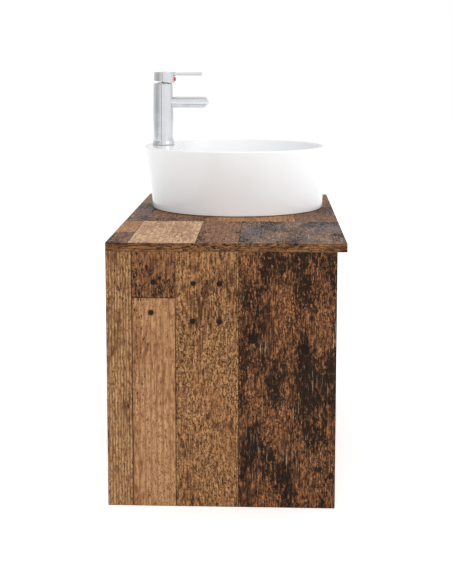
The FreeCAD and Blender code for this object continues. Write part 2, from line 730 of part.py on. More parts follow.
def make_basin():
    """The round ceramic basin: a lofted outside, a bowl with a deck behind it, and a hollow foot."""
    body = new_body("basin_body")
    sections = []
    for name, centre_y, radius, height in (
            ("foot", "foot_y", "foot_radius", "0"),
            ("waist", "waist_y", "waist_radius", "waist_height"),
            ("rim", "rim_y", "rim_radius", "basin_height - seal_height")):
        sketch = new_sketch(body, f"basin_{name}", "XY_Plane", height)
        draw_circle(sketch, ("0", centre_y), radius)
        sections.append(sketch)
    loft = body.newObject("PartDesign::AdditiveLoft", "basin_outside")
    loft.Profile = sections[0]
    loft.Sections = sections[1:]
    document.recompute()
    solid_volume = body.Shape.Volume
    bowl_sketch = new_sketch(body, "bowl_outline", "XY_Plane", "basin_height - seal_height")
    draw_bowl_outline(bowl_sketch, size("rim_radius - rim_wall"), size("rim_y"),
                      size("deck_front_y"), size("bowl_corner"))
    bowl = body.newObject("PartDesign::Pocket", "bowl")
    bowl.Profile = bowl_sketch
    bowl.setExpression("Length", bound("bowl_depth"))
    bowl.setExpression("TaperAngle", bound("0 - bowl_taper"))
    document.recompute()
    if body.Shape.Volume >= solid_volume:
        raise RuntimeError("the bowl cuts nothing")
    round_edges(body, "bowl_floor_round", "bowl_round",
                flat_at("basin_height - seal_height - bowl_depth"))
    pocket_circle(body, "foot_hollow", ("0", "foot_y"), "hollow_radius", "0", "hollow_depth", True)
    pocket_circle(body, "drain_recess", ("0", "waste_y"), "drain_recess_radius",
                  "basin_height - seal_height - bowl_depth", "drain_recess_depth", False)
    pocket_circle(body, "drain_hole", ("0", "waste_y"), "drain_hole_radius",
                  "basin_height - seal_height - bowl_depth", "bowl_depth", False)
    deck_hollow = box("deck_hollow", ("basin_x - deck_hollow_width / 2", "deck_hollow_front", WORKTOP_TOP),
                      ("deck_hollow_width", "deck_hollow_back - deck_hollow_front",
                       "basin_height - deck_thickness"))
    tap_hole = rod("tap_hole", ("basin_x", "tap_y", f"{DECK_TOP} - 2 * deck_thickness"),
                   "tap_hole_radius", "3 * deck_thickness")
    round_edges(body, "rim_rounding", "rim_round", flat_at("basin_height - seal_height"))
    place(body, ("basin_x", "0", BASIN_FOOT))
    sub_part(cut("basin_finished", body, [deck_hollow, tap_hole]), "basin")
    outer = "foot_radius - seal_inset"
    seal = ring("seal_ring", f"{outer} - seal_width", outer, "seal_height",
                ("basin_x", "foot_y", WORKTOP_TOP))
    sub_part(cut("seal_finished", seal, [deck_hollow]), "basin_seal")


# ---- waste and trap ----------------------------------------------------------

def make_waste():
    """The click waste that clamps the basin to the worktop."""
    seat = ("basin_x", "waste_y", WASTE_SEAT)
    outline = [
        ("waste_bore", "0 - waste_tail"), ("waste_tube_radius", "0 - waste_tail"),
        ("waste_tube_radius", "0"), ("waste_flange_radius", "0"),
        ("waste_flange_radius", "waste_flange_height / 2"),
        ("waste_flange_radius - waste_flange_height", "waste_flange_height"),
        ("waste_bore", "waste_flange_height")]
    shell = turned("waste_shell", outline, seat)
    guide = ring("waste_guide", "plug_stem_radius + running_gap", "waste_guide_radius",
                 "waste_guide_height", ("basin_x", "waste_y", f"{WASTE_SEAT} - 2 * waste_guide_height"))
    spokes = box("waste_spokes", ("basin_x - waste_bore", "waste_y - waste_spoke / 2",
                                  f"{WASTE_SEAT} - 2 * waste_guide_height"),
                 ("2 * waste_bore", "waste_spoke", "waste_guide_height / 2"))
    clearance = rod("guide_clearance", ("basin_x", "waste_y", f"{WASTE_SEAT} - 2 * waste_guide_height"),
                    "plug_stem_radius + running_gap", "2 * waste_guide_height")
    spoke_pair = cut("waste_spoke_pair", spokes, [clearance])
    sub_part(fuse("waste_fused", [shell, guide, spoke_pair]), "waste_body")
    plug_z = "waste_flange_height + plug_travel_gap"
    plug_outline = [
        ("0", "0 - plug_stem_length"), ("plug_stem_radius", "0 - plug_stem_length"),
        ("plug_stem_radius", plug_z), ("plug_radius", plug_z), ("plug_radius", f"{plug_z} + plug_rim"),
        ("plug_radius * plug_shoulder", f"{plug_z} + plug_rim + plug_dome * plug_shoulder"),
        ("0", f"{plug_z} + plug_rim + plug_dome")]
    plug = turned("plug_body", plug_outline, seat)
    round_edges(plug, "plug_edge_round", "plug_rim / 3", flat_at(f"{plug_z} + plug_rim"))
    sub_part(plug, "waste_plug")
    sub_part(ring("waste_gasket_ring", "waste_tube_radius", "waste_gasket_radius", "waste_gasket_height",
                  ("basin_x", "waste_y", "cabinet_height - waste_gasket_height")), "waste_gasket")
    nut = ring("waste_nut_body", "waste_tube_radius", "waste_nut_radius", "waste_nut_height",
               ("basin_x", "waste_y", "cabinet_height - waste_gasket_height - waste_nut_height"))
    add_grip(nut, "waste_nut", "waste_nut_radius", "waste_nut_height", "waste_nut_grooves")
    sub_part(nut, "waste_nut")


def make_trap():
    """The bottle trap under the waste and its pipe to the wall."""
    nut_outline = [
        ("tube_radius + travel_gap", "0"), ("trap_nut_radius", "0"),
        ("trap_nut_radius", "trap_nut_height"), ("waste_tube_radius", "trap_nut_height"),
        ("waste_tube_radius", "trap_nut_lip"), ("tube_radius + travel_gap", "trap_nut_lip")]
    nut_foot = f"({WASTE_END} - dip_flange - trap_nut_lip)"
    nut = turned("trap_nut_body", nut_outline, ("basin_x", "waste_y", nut_foot))
    add_grip(nut, "trap_nut", "trap_nut_radius", "trap_nut_height", "trap_nut_grooves")
    sub_part(nut, "trap_inlet_nut")
    bore = "tube_radius - tube_wall"
    dip_outline = [
        (bore, "0 - dip_length"), ("tube_radius", "0 - dip_length"), ("tube_radius", "0 - dip_flange"),
        ("dip_flange_radius", "0 - dip_flange"), ("dip_flange_radius", "0"), (bore, "0")]
    sub_part(turned("dip_tube", dip_outline, ("basin_x", "waste_y", WASTE_END)), "trap_dip_tube")
    inside = "trap_radius - trap_wall"
    body_outline = [
        (inside, "0 - trap_body_height"), ("trap_radius", "0 - trap_body_height"), ("trap_radius", "0"),
        ("dip_flange_radius", "0"), ("dip_flange_radius", "trap_collar"), ("tube_radius", "trap_collar"),
        ("tube_radius", "0 - trap_wall"), (inside, "0 - trap_wall")]
    shell = turned("trap_shell", body_outline, ("basin_x", "waste_y", "trap_body_top"))
    stub_start = ("basin_x", "waste_y + trap_radius - 2 * trap_wall", "outlet_z")
    stub = rod("outlet_stub_outside", stub_start, "tube_radius + trap_wall",
               "outlet_stub + 2 * trap_wall", TO_Y)
    stub_bore = rod("outlet_stub_bore", ("basin_x", "waste_y", "outlet_z"), "tube_radius",
                    "trap_radius + outlet_stub", TO_Y)
    keep_inside = rod("trap_inside", ("basin_x", "waste_y", "trap_body_top - trap_body_height"),
                      inside, "trap_body_height - trap_wall")
    dip_space = rod("dip_space", ("basin_x", "waste_y", "trap_body_top - trap_body_height"),
                    "tube_radius", "trap_body_height + trap_collar")
    outside = cut("stub_outside", stub, [keep_inside])
    fused = fuse("trap_fused", [shell, outside])
    sub_part(cut("trap_body_finished", fused, [stub_bore, dip_space]), "trap_body")
    cup_top = "trap_body_top - trap_body_height"
    cup_inside = "trap_radius - 2 * trap_wall"
    cup_outline = [
        ("0", "0 - cup_depth"), ("trap_radius - trap_wall", "0 - cup_depth"),
        ("trap_radius + trap_wall", "2 * trap_wall - cup_depth"), ("trap_radius + trap_wall", "0"),
        (inside, "0"), (inside, "cup_thread"), (cup_inside, "cup_thread"),
        (cup_inside, "trap_wall - cup_depth"), ("0", "trap_wall - cup_depth")]
    cup = turned("cup_shell", cup_outline, ("basin_x", "waste_y", cup_top))
    sub_part(cup, "trap_cup")
    pipe_start = "(waste_y + trap_radius + outlet_stub / 2)"
    sub_part(ring("outlet_pipe", bore, "tube_radius", f"wall_y - {pipe_start}",
                  ("basin_x", pipe_start, "outlet_z"), TO_Y), "trap_outlet_pipe")
    outlet_nut_outline = [
        ("tube_radius + trap_wall", "0"), ("outlet_nut_radius", "0"),
        ("outlet_nut_radius", "outlet_nut_length"), ("tube_radius", "outlet_nut_length"),
        ("tube_radius", "outlet_nut_length - trap_wall"),
        ("tube_radius + trap_wall", "outlet_nut_length - trap_wall")]
    outlet_nut = turned("outlet_nut_body", outlet_nut_outline,
                        ("basin_x", "waste_y + trap_radius + outlet_stub + trap_wall - outlet_nut_length",
                         "outlet_z"), TO_Y)
    add_grip(outlet_nut, "outlet_nut", "outlet_nut_radius", "outlet_nut_length",
             "outlet_nut_grooves")
    sub_part(outlet_nut, "trap_outlet_nut")
    rosette_outline = [
        ("tube_radius", "0"), ("tube_radius + trap_wall", "0"),
        ("rosette_radius", "rosette_depth - trap_wall / 2"), ("rosette_radius", "rosette_depth"),
        ("tube_radius", "rosette_depth")]
    sub_part(turned("rosette", rosette_outline, ("basin_x", "wall_y - rosette_depth", "outlet_z"), TO_Y),
             "wall_rosette")


# ---- tap ---------------------------------------------------------------------

def make_tap_fixing():
    """What holds the tap to the deck: gasket, ring, stud, horseshoe washer and nut."""
    foot = ("basin_x", "tap_y", DECK_TOP)
    sub_part(ring("tap_gasket", "tap_hole_radius", "tap_gasket_radius", "tap_gasket_height", foot),
             "tap_base_gasket")
    ring_outline = [
        ("spigot_radius", "0"), ("base_ring_radius", "0"),
        ("base_ring_radius", "base_ring_height * base_ring_rim_share"),
        ("column_radius", "base_ring_height * base_ring_flare_share"), ("column_radius", "base_ring_height"),
        ("spigot_radius", "base_ring_height")]
    sub_part(turned("base_ring", ring_outline, ("basin_x", "tap_y", TAP_FOOT)), "tap_base_ring")
    stud_y = "tap_y - stud_offset"
    stud = rod("stud", ("basin_x", stud_y, f"{TAP_FOOT} + stud_sunk - stud_length"),
               "stud_radius", "stud_length")
    sub_part(stud, "mounting_stud")
    washer_z = f"{DECK_TOP} - deck_thickness - washer_thickness"
    disc = rod("washer_disc", ("basin_x", "tap_y", washer_z), "washer_radius", "washer_thickness")
    limits = box("washer_limits", ("basin_x - washer_radius", "tap_y - washer_half_depth", washer_z),
                 ("2 * washer_radius", "2 * washer_half_depth", "washer_thickness"))
    common = document.addObject("Part::Common", "washer_outline")
    common.Base = disc
    common.Tool = limits
    slot = box("washer_slot_space", ("basin_x - washer_slot / 2", "tap_y - stud_radius / 2", washer_z),
               ("washer_slot", "washer_radius + stud_radius", "washer_thickness"))
    sub_part(cut("washer", common, [slot, stud]), "horseshoe_washer")
    nut_outline = [
        ("stud_radius", "0"), ("stud_nut_radius", "0"), ("stud_nut_radius", "stud_nut_height"),
        ("stud_radius", "stud_nut_height")]
    nut = turned("stud_nut_body", nut_outline, ("basin_x", stud_y, f"{washer_z} - stud_nut_height"))
    add_grip(nut, "stud_nut", "stud_nut_radius", "stud_nut_height", "stud_nut_grooves")
    sub_part(nut, "stud_nut")
    return stud


def aerator_place(along):
    """A point on the aerator's axis, measured into the spout from its slanted face."""
    middle_y = "(nose_y + nose_bottom_y) / 2"
    middle_z = "spout_z - spout_radius + (nose_bottom_y - nose_y) / 2"
    step = f"({along}) * sin(45)"
    return ("basin_x", f"{middle_y} + {step}", f"{middle_z} + {step}")


INTO_NOSE = (FreeCAD.Vector(1, 0, 0), -45)


def make_tap_body(stud):
    """The one-piece brass body: column, spout, cartridge chamber and water passages."""
    seat = "column_top - nut_height - travel_gap"
    outline = [
        ("0", "0"), ("spigot_radius", "0"), ("spigot_radius", "base_ring_height"),
        ("column_radius", "base_ring_height"), ("column_radius", f"column_top - {TAP_FOOT}"),
        ("nut_seat_radius", f"column_top - {TAP_FOOT}"), ("nut_seat_radius", f"{seat} - {TAP_FOOT}"),
        ("chamber_radius", f"{seat} - {TAP_FOOT}"), ("chamber_radius", f"chamber_floor - {TAP_FOOT}"),
        ("0", f"chamber_floor - {TAP_FOOT}")]
    column = turned("column", outline, ("basin_x", "tap_y", TAP_FOOT))

    def outer_top(edge):
        return (flat_at(f"column_top - {TAP_FOOT}")(edge)
                and edge.BoundBox.XLength > 2 * size("nut_seat_radius") + 1)

    round_edges(column, "column_top_round", "column_round", outer_top)
    tube = rod("spout_tube", ("basin_x", "tap_y - spout_radius", "spout_z"), "spout_radius",
               "tap_y - spout_radius - nose_y", TO_MINUS_Y)
    low = "spout_z - spout_radius"
    silhouette = padded("spout_silhouette", "YZ_Plane", [
        ("nose_y", f"{low} + nose_bottom_y - nose_y"), ("nose_bottom_y", low), ("tap_y", low),
        ("tap_y", "spout_z + spout_radius"), ("nose_top_y", "spout_z + spout_radius"),
        ("nose_y + (nose_top_y - nose_y) * nose_brow_back", "spout_z + spout_radius * nose_brow_rise")],
        "2 * spout_radius", ("basin_x - spout_radius", "0", "0"))
    spout = document.addObject("Part::Common", "spout")
    spout.Base = tube
    spout.Tool = silhouette
    blank = fuse("tap_blank", [column, spout])
    spout_bore = rod("spout_bore_space", ("basin_x", "spout_back_y", "spout_z"), "spout_bore",
                     "spout_back_y - nose_bottom_y", TO_MINUS_Y)
    aerator_seat = rod("aerator_seat", aerator_place("0 - aerator_length"), "aerator_radius",
                       "2 * aerator_length", INTO_NOSE)
    outlet_port = rod("outlet_port", ("basin_x", "outlet_port_y", "spout_z"), "passage_radius",
                      "chamber_floor - spout_z + travel_gap")
    tools = [spout_bore, aerator_seat, outlet_port, stud]
    for label, hand in (("cold", 1), ("hot", -1)):
        place_x = f"basin_x + {hand} * port_spread"
        place_y = "tap_y + port_offset"
        tools.append(rod(f"{label}_port", (place_x, place_y, TAP_FOOT), "port_radius", "port_depth"))
        tools.append(rod(f"{label}_passage", (place_x, place_y, TAP_FOOT), "passage_radius",
                         f"chamber_floor - {TAP_FOOT} + travel_gap"))
    sub_part(cut("tap_body_finished", blank, tools), "tap_body")


def make_aerator():
    """The aerator ring and its plastic insert, square to the spout's slanted face."""
    inner = "aerator_radius - aerator_wall"
    sub_part(ring("aerator_ring", inner, "aerator_radius", "aerator_length",
                  aerator_place("0 - aerator_proud"), INTO_NOSE), "aerator_housing")
    insert = rod("aerator_core", aerator_place("aerator_proud"), inner, "aerator_insert_length", INTO_NOSE)
    sub_part(insert, "aerator_insert")


def make_cartridge():
    """The ceramic cartridge, its nut, the collar that swivels and the stem that tilts."""
    seat = "(column_top - nut_height - travel_gap)"
    sub_part(rod("cartridge_case", ("basin_x", "tap_y", "chamber_floor"), "chamber_radius",
                 f"{seat} - chamber_floor"), "cartridge")
    nut = ring("cartridge_nut_ring", "nut_bore", "nut_seat_radius", "nut_height",
               ("basin_x", "tap_y", seat))
    sub_part(nut, "cartridge_nut")
    collar = rod("collar_disc", ("basin_x", "tap_y", f"{seat} + travel_gap"), "collar_radius",
                 "collar_height")
    slot = box("collar_slot",
               ("basin_x - stem_width / 2 - stem_slack", "tap_y - stem_width / 2 - stem_tilt_slack",
                f"{seat} + travel_gap"),
               ("stem_width + 2 * stem_slack", "stem_width + 2 * stem_tilt_slack", "collar_height"))
    sub_part(cut("collar", collar, [slot]), "cartridge_collar")
    stem = box("stem", ("basin_x - stem_width / 2", "tap_y - stem_width / 2", "stem_bottom"),
               ("stem_width", "stem_width", "stem_top - stem_bottom"))
    return sub_part(stem, "cartridge_stem")


def make_lever(stem):
    """The lever cap with its slanted skirt, the rod, the marker and the hidden grub screw."""
    outline = [
        ("0", "cap_recess_top - cap_front_z"), ("cap_recess_radius", "cap_recess_top - cap_front_z"),
        ("cap_recess_radius", "0"), ("cap_radius", "0"), ("cap_radius", "cap_top - cap_front_z"),
        ("0", "cap_top - cap_front_z")]
    cap = turned("cap_blank", outline, ("basin_x", "cap_y", "cap_front_z"))
    round_edges(cap, "cap_top_round", "cap_round", flat_at("cap_top - cap_front_z"))
    wedge = padded("skirt_wedge", "YZ_Plane", [
        ("0 - cap_radius", "0"), ("cap_radius", "0"), ("cap_radius", "cap_back_z - cap_front_z")],
        "2 * cap_radius", ("basin_x - cap_radius", "cap_y", "cap_front_z"))
    lever = rod("lever_bar", ("basin_x", "rod_seat_y", "rod_z"), "rod_radius",
                "rod_seat_y - rod_tip_y", TO_MINUS_Y)
    rounded = document.addObject("Part::Fillet", "lever_bar_rounded")
    rounded.Base = lever
    document.recompute()
    tip_edges = [number for number, edge in enumerate(lever.Shape.Edges, start=1)
                 if abs(edge.BoundBox.YMax - size("rod_tip_y")) < 0.01]
    rounded.Edges = [(number, size("rod_tip_round"), size("rod_tip_round")) for number in tip_edges]
    bar = sub_part(rounded, "lever_rod")
    front = "(cap_y - cap_radius)"
    marker = rod("marker_stud", ("basin_x", f"{front} + marker_sunk", "marker_z"), "marker_radius",
                 "marker_sunk + marker_proud", TO_MINUS_Y)
    sub_part(marker, "temperature_marker")
    grub = rod("grub_screw", ("basin_x", f"{front} + marker_sunk", "marker_z"), "grub_radius",
               f"tap_y - stem_width / 2 - {front} - marker_sunk", TO_Y)
    sub_part(grub, "lever_grub_screw")
    sub_part(cut("cap_finished", cap, [wedge, bar, marker, grub, stem]), "lever_cap")


# ---- the whole object --------------------------------------------------------

def check_document():
    """Stop if any object failed or any sub-part is empty or broken."""
    document.recompute()
    for item in document.Objects:
        if "Invalid" in item.State or "Error" in item.State:
            raise RuntimeError(f"{item.Name} failed: {item.State}")
    for item in sub_parts:
        if item.Shape.isNull() or not item.Shape.isValid() or not item.Shape.Solids:
            raise RuntimeError(f"{item.Label} has no valid solid")


def write_parts():
    """Write each sub-part to its own STEP file."""
    os.makedirs("parts", exist_ok=True)
    for item in sub_parts:
        item.Shape.exportStep(os.path.join("parts", f"{item.Label}.step"))
    print(f"{len(sub_parts)} sub-parts written")


make_cabinet(make_dowels(), make_worktop_screws(), make_pivot_bushes())
make_door()
make_drawer("lower", FRONT_BOTTOM)
make_drawer("upper", f"({FRONT_BOTTOM} + {DRAWER_FRONT_HEIGHT} + front_spacing)")
make_basin()
make_waste()
make_trap()
make_tap_body(make_tap_fixing())
make_aerator()
make_lever(make_cartridge())
check_document()
write_parts()
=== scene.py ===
"""Looks of a vessel sink on a vanity cabinet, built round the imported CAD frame.

Each sub-assembly is a class with methods that build and dress its pieces, and each finish is a
small frozen class that paints one material. Lengths are metres in the frame's own axes: +X is
the width, -Y the front, +Z up.
"""

import logging
import math
from dataclasses import dataclass, field
from enum import Enum
from statistics import NormalDist
from typing import Callable, Iterable, Sequence

import bmesh
import bpy
from mathutils import Matrix, Vector


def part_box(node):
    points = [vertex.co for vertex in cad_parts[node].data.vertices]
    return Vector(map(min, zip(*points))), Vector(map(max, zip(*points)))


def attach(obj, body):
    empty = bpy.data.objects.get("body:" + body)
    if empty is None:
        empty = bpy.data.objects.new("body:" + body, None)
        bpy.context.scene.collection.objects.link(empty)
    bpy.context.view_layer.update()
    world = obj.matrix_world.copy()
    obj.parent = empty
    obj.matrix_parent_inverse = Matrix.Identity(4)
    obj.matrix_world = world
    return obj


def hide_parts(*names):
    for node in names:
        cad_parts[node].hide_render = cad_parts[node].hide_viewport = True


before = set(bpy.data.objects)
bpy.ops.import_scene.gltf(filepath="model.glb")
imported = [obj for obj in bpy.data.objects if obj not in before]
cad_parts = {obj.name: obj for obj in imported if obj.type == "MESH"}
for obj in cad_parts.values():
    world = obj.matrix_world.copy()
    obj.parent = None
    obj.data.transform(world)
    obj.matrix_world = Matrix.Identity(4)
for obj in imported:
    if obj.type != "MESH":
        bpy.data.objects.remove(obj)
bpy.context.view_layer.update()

LOG = logging.getLogger("vessel_sink")
MM = 0.001
NOISE_SPREAD = 0.085
Colour = tuple[float, float, float]
Profile = Sequence[tuple[float, float]]


def srgb(red: int, green: int, blue: int) -> Colour:
    """A screen colour as the linear colour that shaders use.

    Args:
        red, green, blue: channels from 0 to 255.

    Returns:
        The linear colour.
    """
    def linear(channel: int) -> float:
        """One channel as a linear value."""
        share = channel / 255
        return share / 12.92 if share <= 0.04045 else ((share + 0.055) / 1.055) ** 2.4
    return linear(red), linear(green), linear(blue)


class Side(Enum):
    """A side of a board, by its outward normal."""

    LEFT = (-1, 0, 0)
    RIGHT = (1, 0, 0)
    FRONT = (0, -1, 0)
    BACK = (0, 1, 0)
    TOP = (0, 0, 1)
    BOTTOM = (0, 0, -1)

    @staticmethod
    def of(normal: Vector) -> "Side":
        """The side whose normal is nearest to the given one."""
        return max(Side, key=lambda side: normal.dot(Vector(side.value)))


class Axis(Enum):
    """One of the frame's axes."""

    X = 0
    Y = 1
    Z = 2


# ---- material graphs -----------------------------------------------------------------------


class Graph:
    """Builds one material's node tree a step at a time."""

    def __init__(self, name: str) -> None:
        """Start a material with a Principled shader and object coordinates.

        Args:
            name: the material's name.
        """
        self.material = bpy.data.materials.new(name)
        self.material.use_nodes = True
        self.tree = self.material.node_tree
        self.shader = self.tree.nodes["Principled BSDF"]
        self.place = self.node("ShaderNodeTexCoord").outputs["Object"]

    def node(self, kind: str, **settings: object) -> bpy.types.Node:
        """Add a node and set its options.

        Args:
            kind: the node's type.
            settings: options to set on it.

        Returns:
            The new node.
        """
        made = self.tree.nodes.new(kind)
        for name, value in settings.items():
            setattr(made, name, value)
        return made

    def feed(self, socket: bpy.types.NodeSocket, value: object) -> None:
        """Link a socket to another, or set its own value.

        Args:
            socket: the socket to fill.
            value: another socket, a number, a vector or a colour.
        """
        if isinstance(value, bpy.types.NodeSocket):
            self.tree.links.new(value, socket)
        elif isinstance(value, tuple) and len(value) == 3 and socket.type == "RGBA":
            socket.default_value = (*value, 1.0)
        else:
            socket.default_value = value

    def stretched(self, vector: object, scale: tuple, shift: tuple = (0, 0, 0)) -> bpy.types.NodeSocket:
        """Scale and shift a coordinate.

        Args:
            vector: the coordinate.
            scale: a factor for each axis.
            shift: a distance for each axis.

        Returns:
            The socket that carries the result.
        """
        mapping = self.node("ShaderNodeMapping")
        self.feed(mapping.inputs["Vector"], vector)
        mapping.inputs["Scale"].default_value = scale
        mapping.inputs["Location"].default_value = shift
        return mapping.outputs["Vector"]

    def reordered(self, along: Axis, across: Axis) -> bpy.types.NodeSocket:
        """Object coordinates with the grain first, the plank's width second and the rest third.

        Args:
            along: the grain's axis.
            across: the axis of the plank's width.

        Returns:
            The socket that carries the result.
        """
        parts = self.node("ShaderNodeSeparateXYZ")
        self.feed(parts.inputs[0], self.place)
        rest = ({0, 1, 2} - {along.value, across.value}).pop()
        joined = self.node("ShaderNodeCombineXYZ")
        for number, source in enumerate((along.value, across.value, rest)):
            self.feed(joined.inputs[number], parts.outputs[source])
        return joined.outputs[0]

    def noise(self, vector: object, scale: float = 1.0, detail: float = 4.0,
              rough: float = 0.55, twist: float = 0.0) -> bpy.types.NodeSocket:
        """Noise from 0 to 1.

        Args:
            vector: the coordinate.
            scale: features to a metre.
            detail: octaves.
            rough: how strong the finer octaves are.
            twist: how far the pattern is bent.

        Returns:
            The socket that carries the result.
        """
        made = self.node("ShaderNodeTexNoise")
        self.feed(made.inputs["Vector"], vector)
        made.inputs["Scale"].default_value = scale
        made.inputs["Detail"].default_value = detail
        made.inputs["Roughness"].default_value = rough
        made.inputs["Distortion"].default_value = twist
        return made.outputs["Fac"]

    def bands(self, vector: object, period: float, twist: float,
              direction: str = "Y") -> bpy.types.NodeSocket:
        """Wavy parallel lines a period apart, across one direction of the coordinate.

        Args:
            vector: the coordinate.
            period: metres from line to line.
            twist: how wavy the lines are.
            direction: the coordinate's axis that the lines follow each other along.

        Returns:
            The socket that carries the result.
        """
        made = self.node("ShaderNodeTexWave", bands_direction=direction)
        self.feed(made.inputs["Vector"], vector)
        made.inputs["Scale"].default_value = math.pi / (10 * period)
        made.inputs["Distortion"].default_value = twist
        made.inputs["Detail"].default_value = 2.0
        made.inputs["Detail Scale"].default_value = 0.35
        return made.outputs["Fac"]

    def level(self, value: object, low: float, high: float,
              to_low: float = 0.0, to_high: float = 1.0) -> bpy.types.NodeSocket:
        """Map a range to another, clamped.

        Args:
            value: the value to map.
            low, high: the range it comes from.
            to_low, to_high: the range it goes to.

        Returns:
            The socket that carries the result.
        """
        made = self.node("ShaderNodeMapRange", interpolation_type="SMOOTHSTEP")
        self.feed(made.inputs["Value"], value)
        for name, number in (("From Min", low), ("From Max", high),
                             ("To Min", to_low), ("To Max", to_high)):
            made.inputs[name].default_value = number
        return made.outputs["Result"]

    def sums(self, operation: str, first: object, second: object = 0.0) -> bpy.types.NodeSocket:
        """Arithmetic on two values.

        Args:
            operation: the Math node's operation.
            first, second: its two values.

        Returns:
            The socket that carries the result.
        """
        made = self.node("ShaderNodeMath", operation=operation)
        self.feed(made.inputs[0], first)
        self.feed(made.inputs[1], second)
        return made.outputs[0]

    def ramp(self, value: object, stops: Iterable[tuple[float, Colour]]) -> bpy.types.NodeSocket:
        """A colour ramp with the given stops.

        Args:
            value: the place on the ramp.
            stops: positions with their colours.

        Returns:
            The socket that carries the result.
        """
        made = self.node("ShaderNodeValToRGB")
        self.feed(made.inputs["Fac"], value)
        elements = made.color_ramp.elements
        for number, (position, colour) in enumerate(stops):
            element = elements[number] if number < 2 else elements.new(position)
            element.position = position
            element.color = (*colour, 1.0)
        return made.outputs["Color"]

    def mix(self, share: object, first: object, second: object, blend: str = "MIX") -> bpy.types.NodeSocket:
        """Mix two colours.

        Args:
            share: how much of the second colour.
            first, second: the colours.
            blend: the blend mode.

        Returns:
            The socket that carries the result.
        """
        made = self.node("ShaderNodeMix", data_type="RGBA", blend_type=blend)
        self.feed(made.inputs["Factor"], share)
        colour_a, colour_b, colour_result = 6, 7, 2
        self.feed(made.inputs[colour_a], first)
        self.feed(made.inputs[colour_b], second)
        return made.outputs[colour_result]

    def bump(self, height: object, depth: float, strength: float = 1.0) -> None:
        """Feed the shader's normal from a height, whose full range is depth metres.

        Args:
            height: the height.
            depth: the height's full range in metres.
            strength: how much of it shows.
        """
        made = self.node("ShaderNodeBump")
        made.inputs["Strength"].default_value = strength
        made.inputs["Distance"].default_value = depth
        self.feed(made.inputs["Height"], height)
        self.feed(self.shader.inputs["Normal"], made.outputs["Normal"])

    def set(self, **values: object) -> bpy.types.Material:
        """Feed the shader's sockets by name, with underscores for spaces, and hand back the material.

        Args:
            values: a value or socket for each named socket.

        Returns:
            The finished material.
        """
        for name, value in values.items():
            self.feed(self.shader.inputs[name.replace("_", " ")], value)
        return self.material


# ---- wood decor ----------------------------------------------------------------------------


@dataclass(frozen=True)
class PlankTone:
    """The look of one kind of old plank.

    The first three fields are linear colours. Flecks, pits, stain and streaks are the share of the
    plank that each kind of mark covers, clumping is how far the pits crowd together, and the
    other strengths run from 0 to 1.
    """

    dark: Colour
    middle: Colour
    light: Colour
    lines: float = 0.3
    line_gap: float = 0.007
    line_twist: float = 5.0
    flecks: float = 0.2
    pits: float = 0.03
    clumping: float = 0.018
    stain: float = 0.02
    streaks: float = 0.02
    blue: float = 0.0
    scratches: float = 0.1
    curls: float = 0.0


class PlankKind(Enum):
    """The kinds of plank that the decor is made of."""

    GROOVED = PlankTone(srgb(86, 56, 34), srgb(150, 110, 74), srgb(180, 140, 98), lines=1.0,
                        line_gap=0.0056, line_twist=2.6, flecks=0.22, pits=0.035, streaks=0.05)
    PALE = PlankTone(srgb(112, 72, 46), srgb(152, 110, 74), srgb(180, 138, 98), lines=0.6,
                     line_gap=0.011, line_twist=7.0, flecks=0.14, pits=0.05, clumping=0.06,
                     scratches=0.35)
    BLOND = PlankTone(srgb(140, 102, 72), srgb(190, 150, 114), srgb(216, 180, 142), lines=0.5,
                      line_gap=0.011, line_twist=7.0, flecks=0.14, pits=0.03, clumping=0.05,
                      scratches=0.35)
    SPECKLED = PlankTone(srgb(78, 49, 29), srgb(148, 104, 66), srgb(182, 136, 91), lines=0.1,
                         line_gap=0.016, line_twist=12.0, flecks=0.34, pits=0.25, stain=0.03,
                         streaks=0.04, curls=0.45)
    STAINED = PlankTone(srgb(46, 28, 19), srgb(108, 69, 42), srgb(168, 112, 70), lines=0.35,
                        line_gap=0.0085, line_twist=4.0, flecks=0.36, pits=0.2, stain=0.28,
                        streaks=0.3, scratches=0.6)
    KNOTTY = PlankTone(srgb(66, 42, 29), srgb(126, 83, 53), srgb(156, 108, 72), lines=0.4,
                       line_gap=0.012, line_twist=14.0, flecks=0.24, pits=0.06, stain=0.1,
                       streaks=0.08, curls=0.85)
    SLATE = PlankTone(srgb(60, 44, 36), srgb(124, 92, 70), srgb(174, 134, 104), lines=0.25,
                      line_gap=0.012, line_twist=9.0, flecks=0.32, pits=0.1, stain=0.13, streaks=0.13,
                      blue=0.65, scratches=0.45)
    ORANGE = PlankTone(srgb(104, 64, 38), srgb(164, 112, 70), srgb(194, 145, 98), lines=0.5,
                       line_gap=0.01, line_twist=8.0, flecks=0.2, pits=0.05, stain=0.02)
    RUSSET = PlankTone(srgb(74, 46, 31), srgb(136, 92, 61), srgb(176, 130, 92), lines=0.3,
                       line_gap=0.012, line_twist=10.0, flecks=0.36, pits=0.12, stain=0.09, streaks=0.09)
    BAND = PlankTone(srgb(62, 38, 22), srgb(122, 82, 49), srgb(152, 108, 69), lines=0.7,
                     line_gap=0.005, line_twist=11.0, flecks=0.34, pits=0.04, stain=0.09, streaks=0.2)


@dataclass(frozen=True)
class Mark:
    """A round nail hole or knot, placed along and across its plank, in metres of the frame."""

    along: float
    across: float
    radius: float


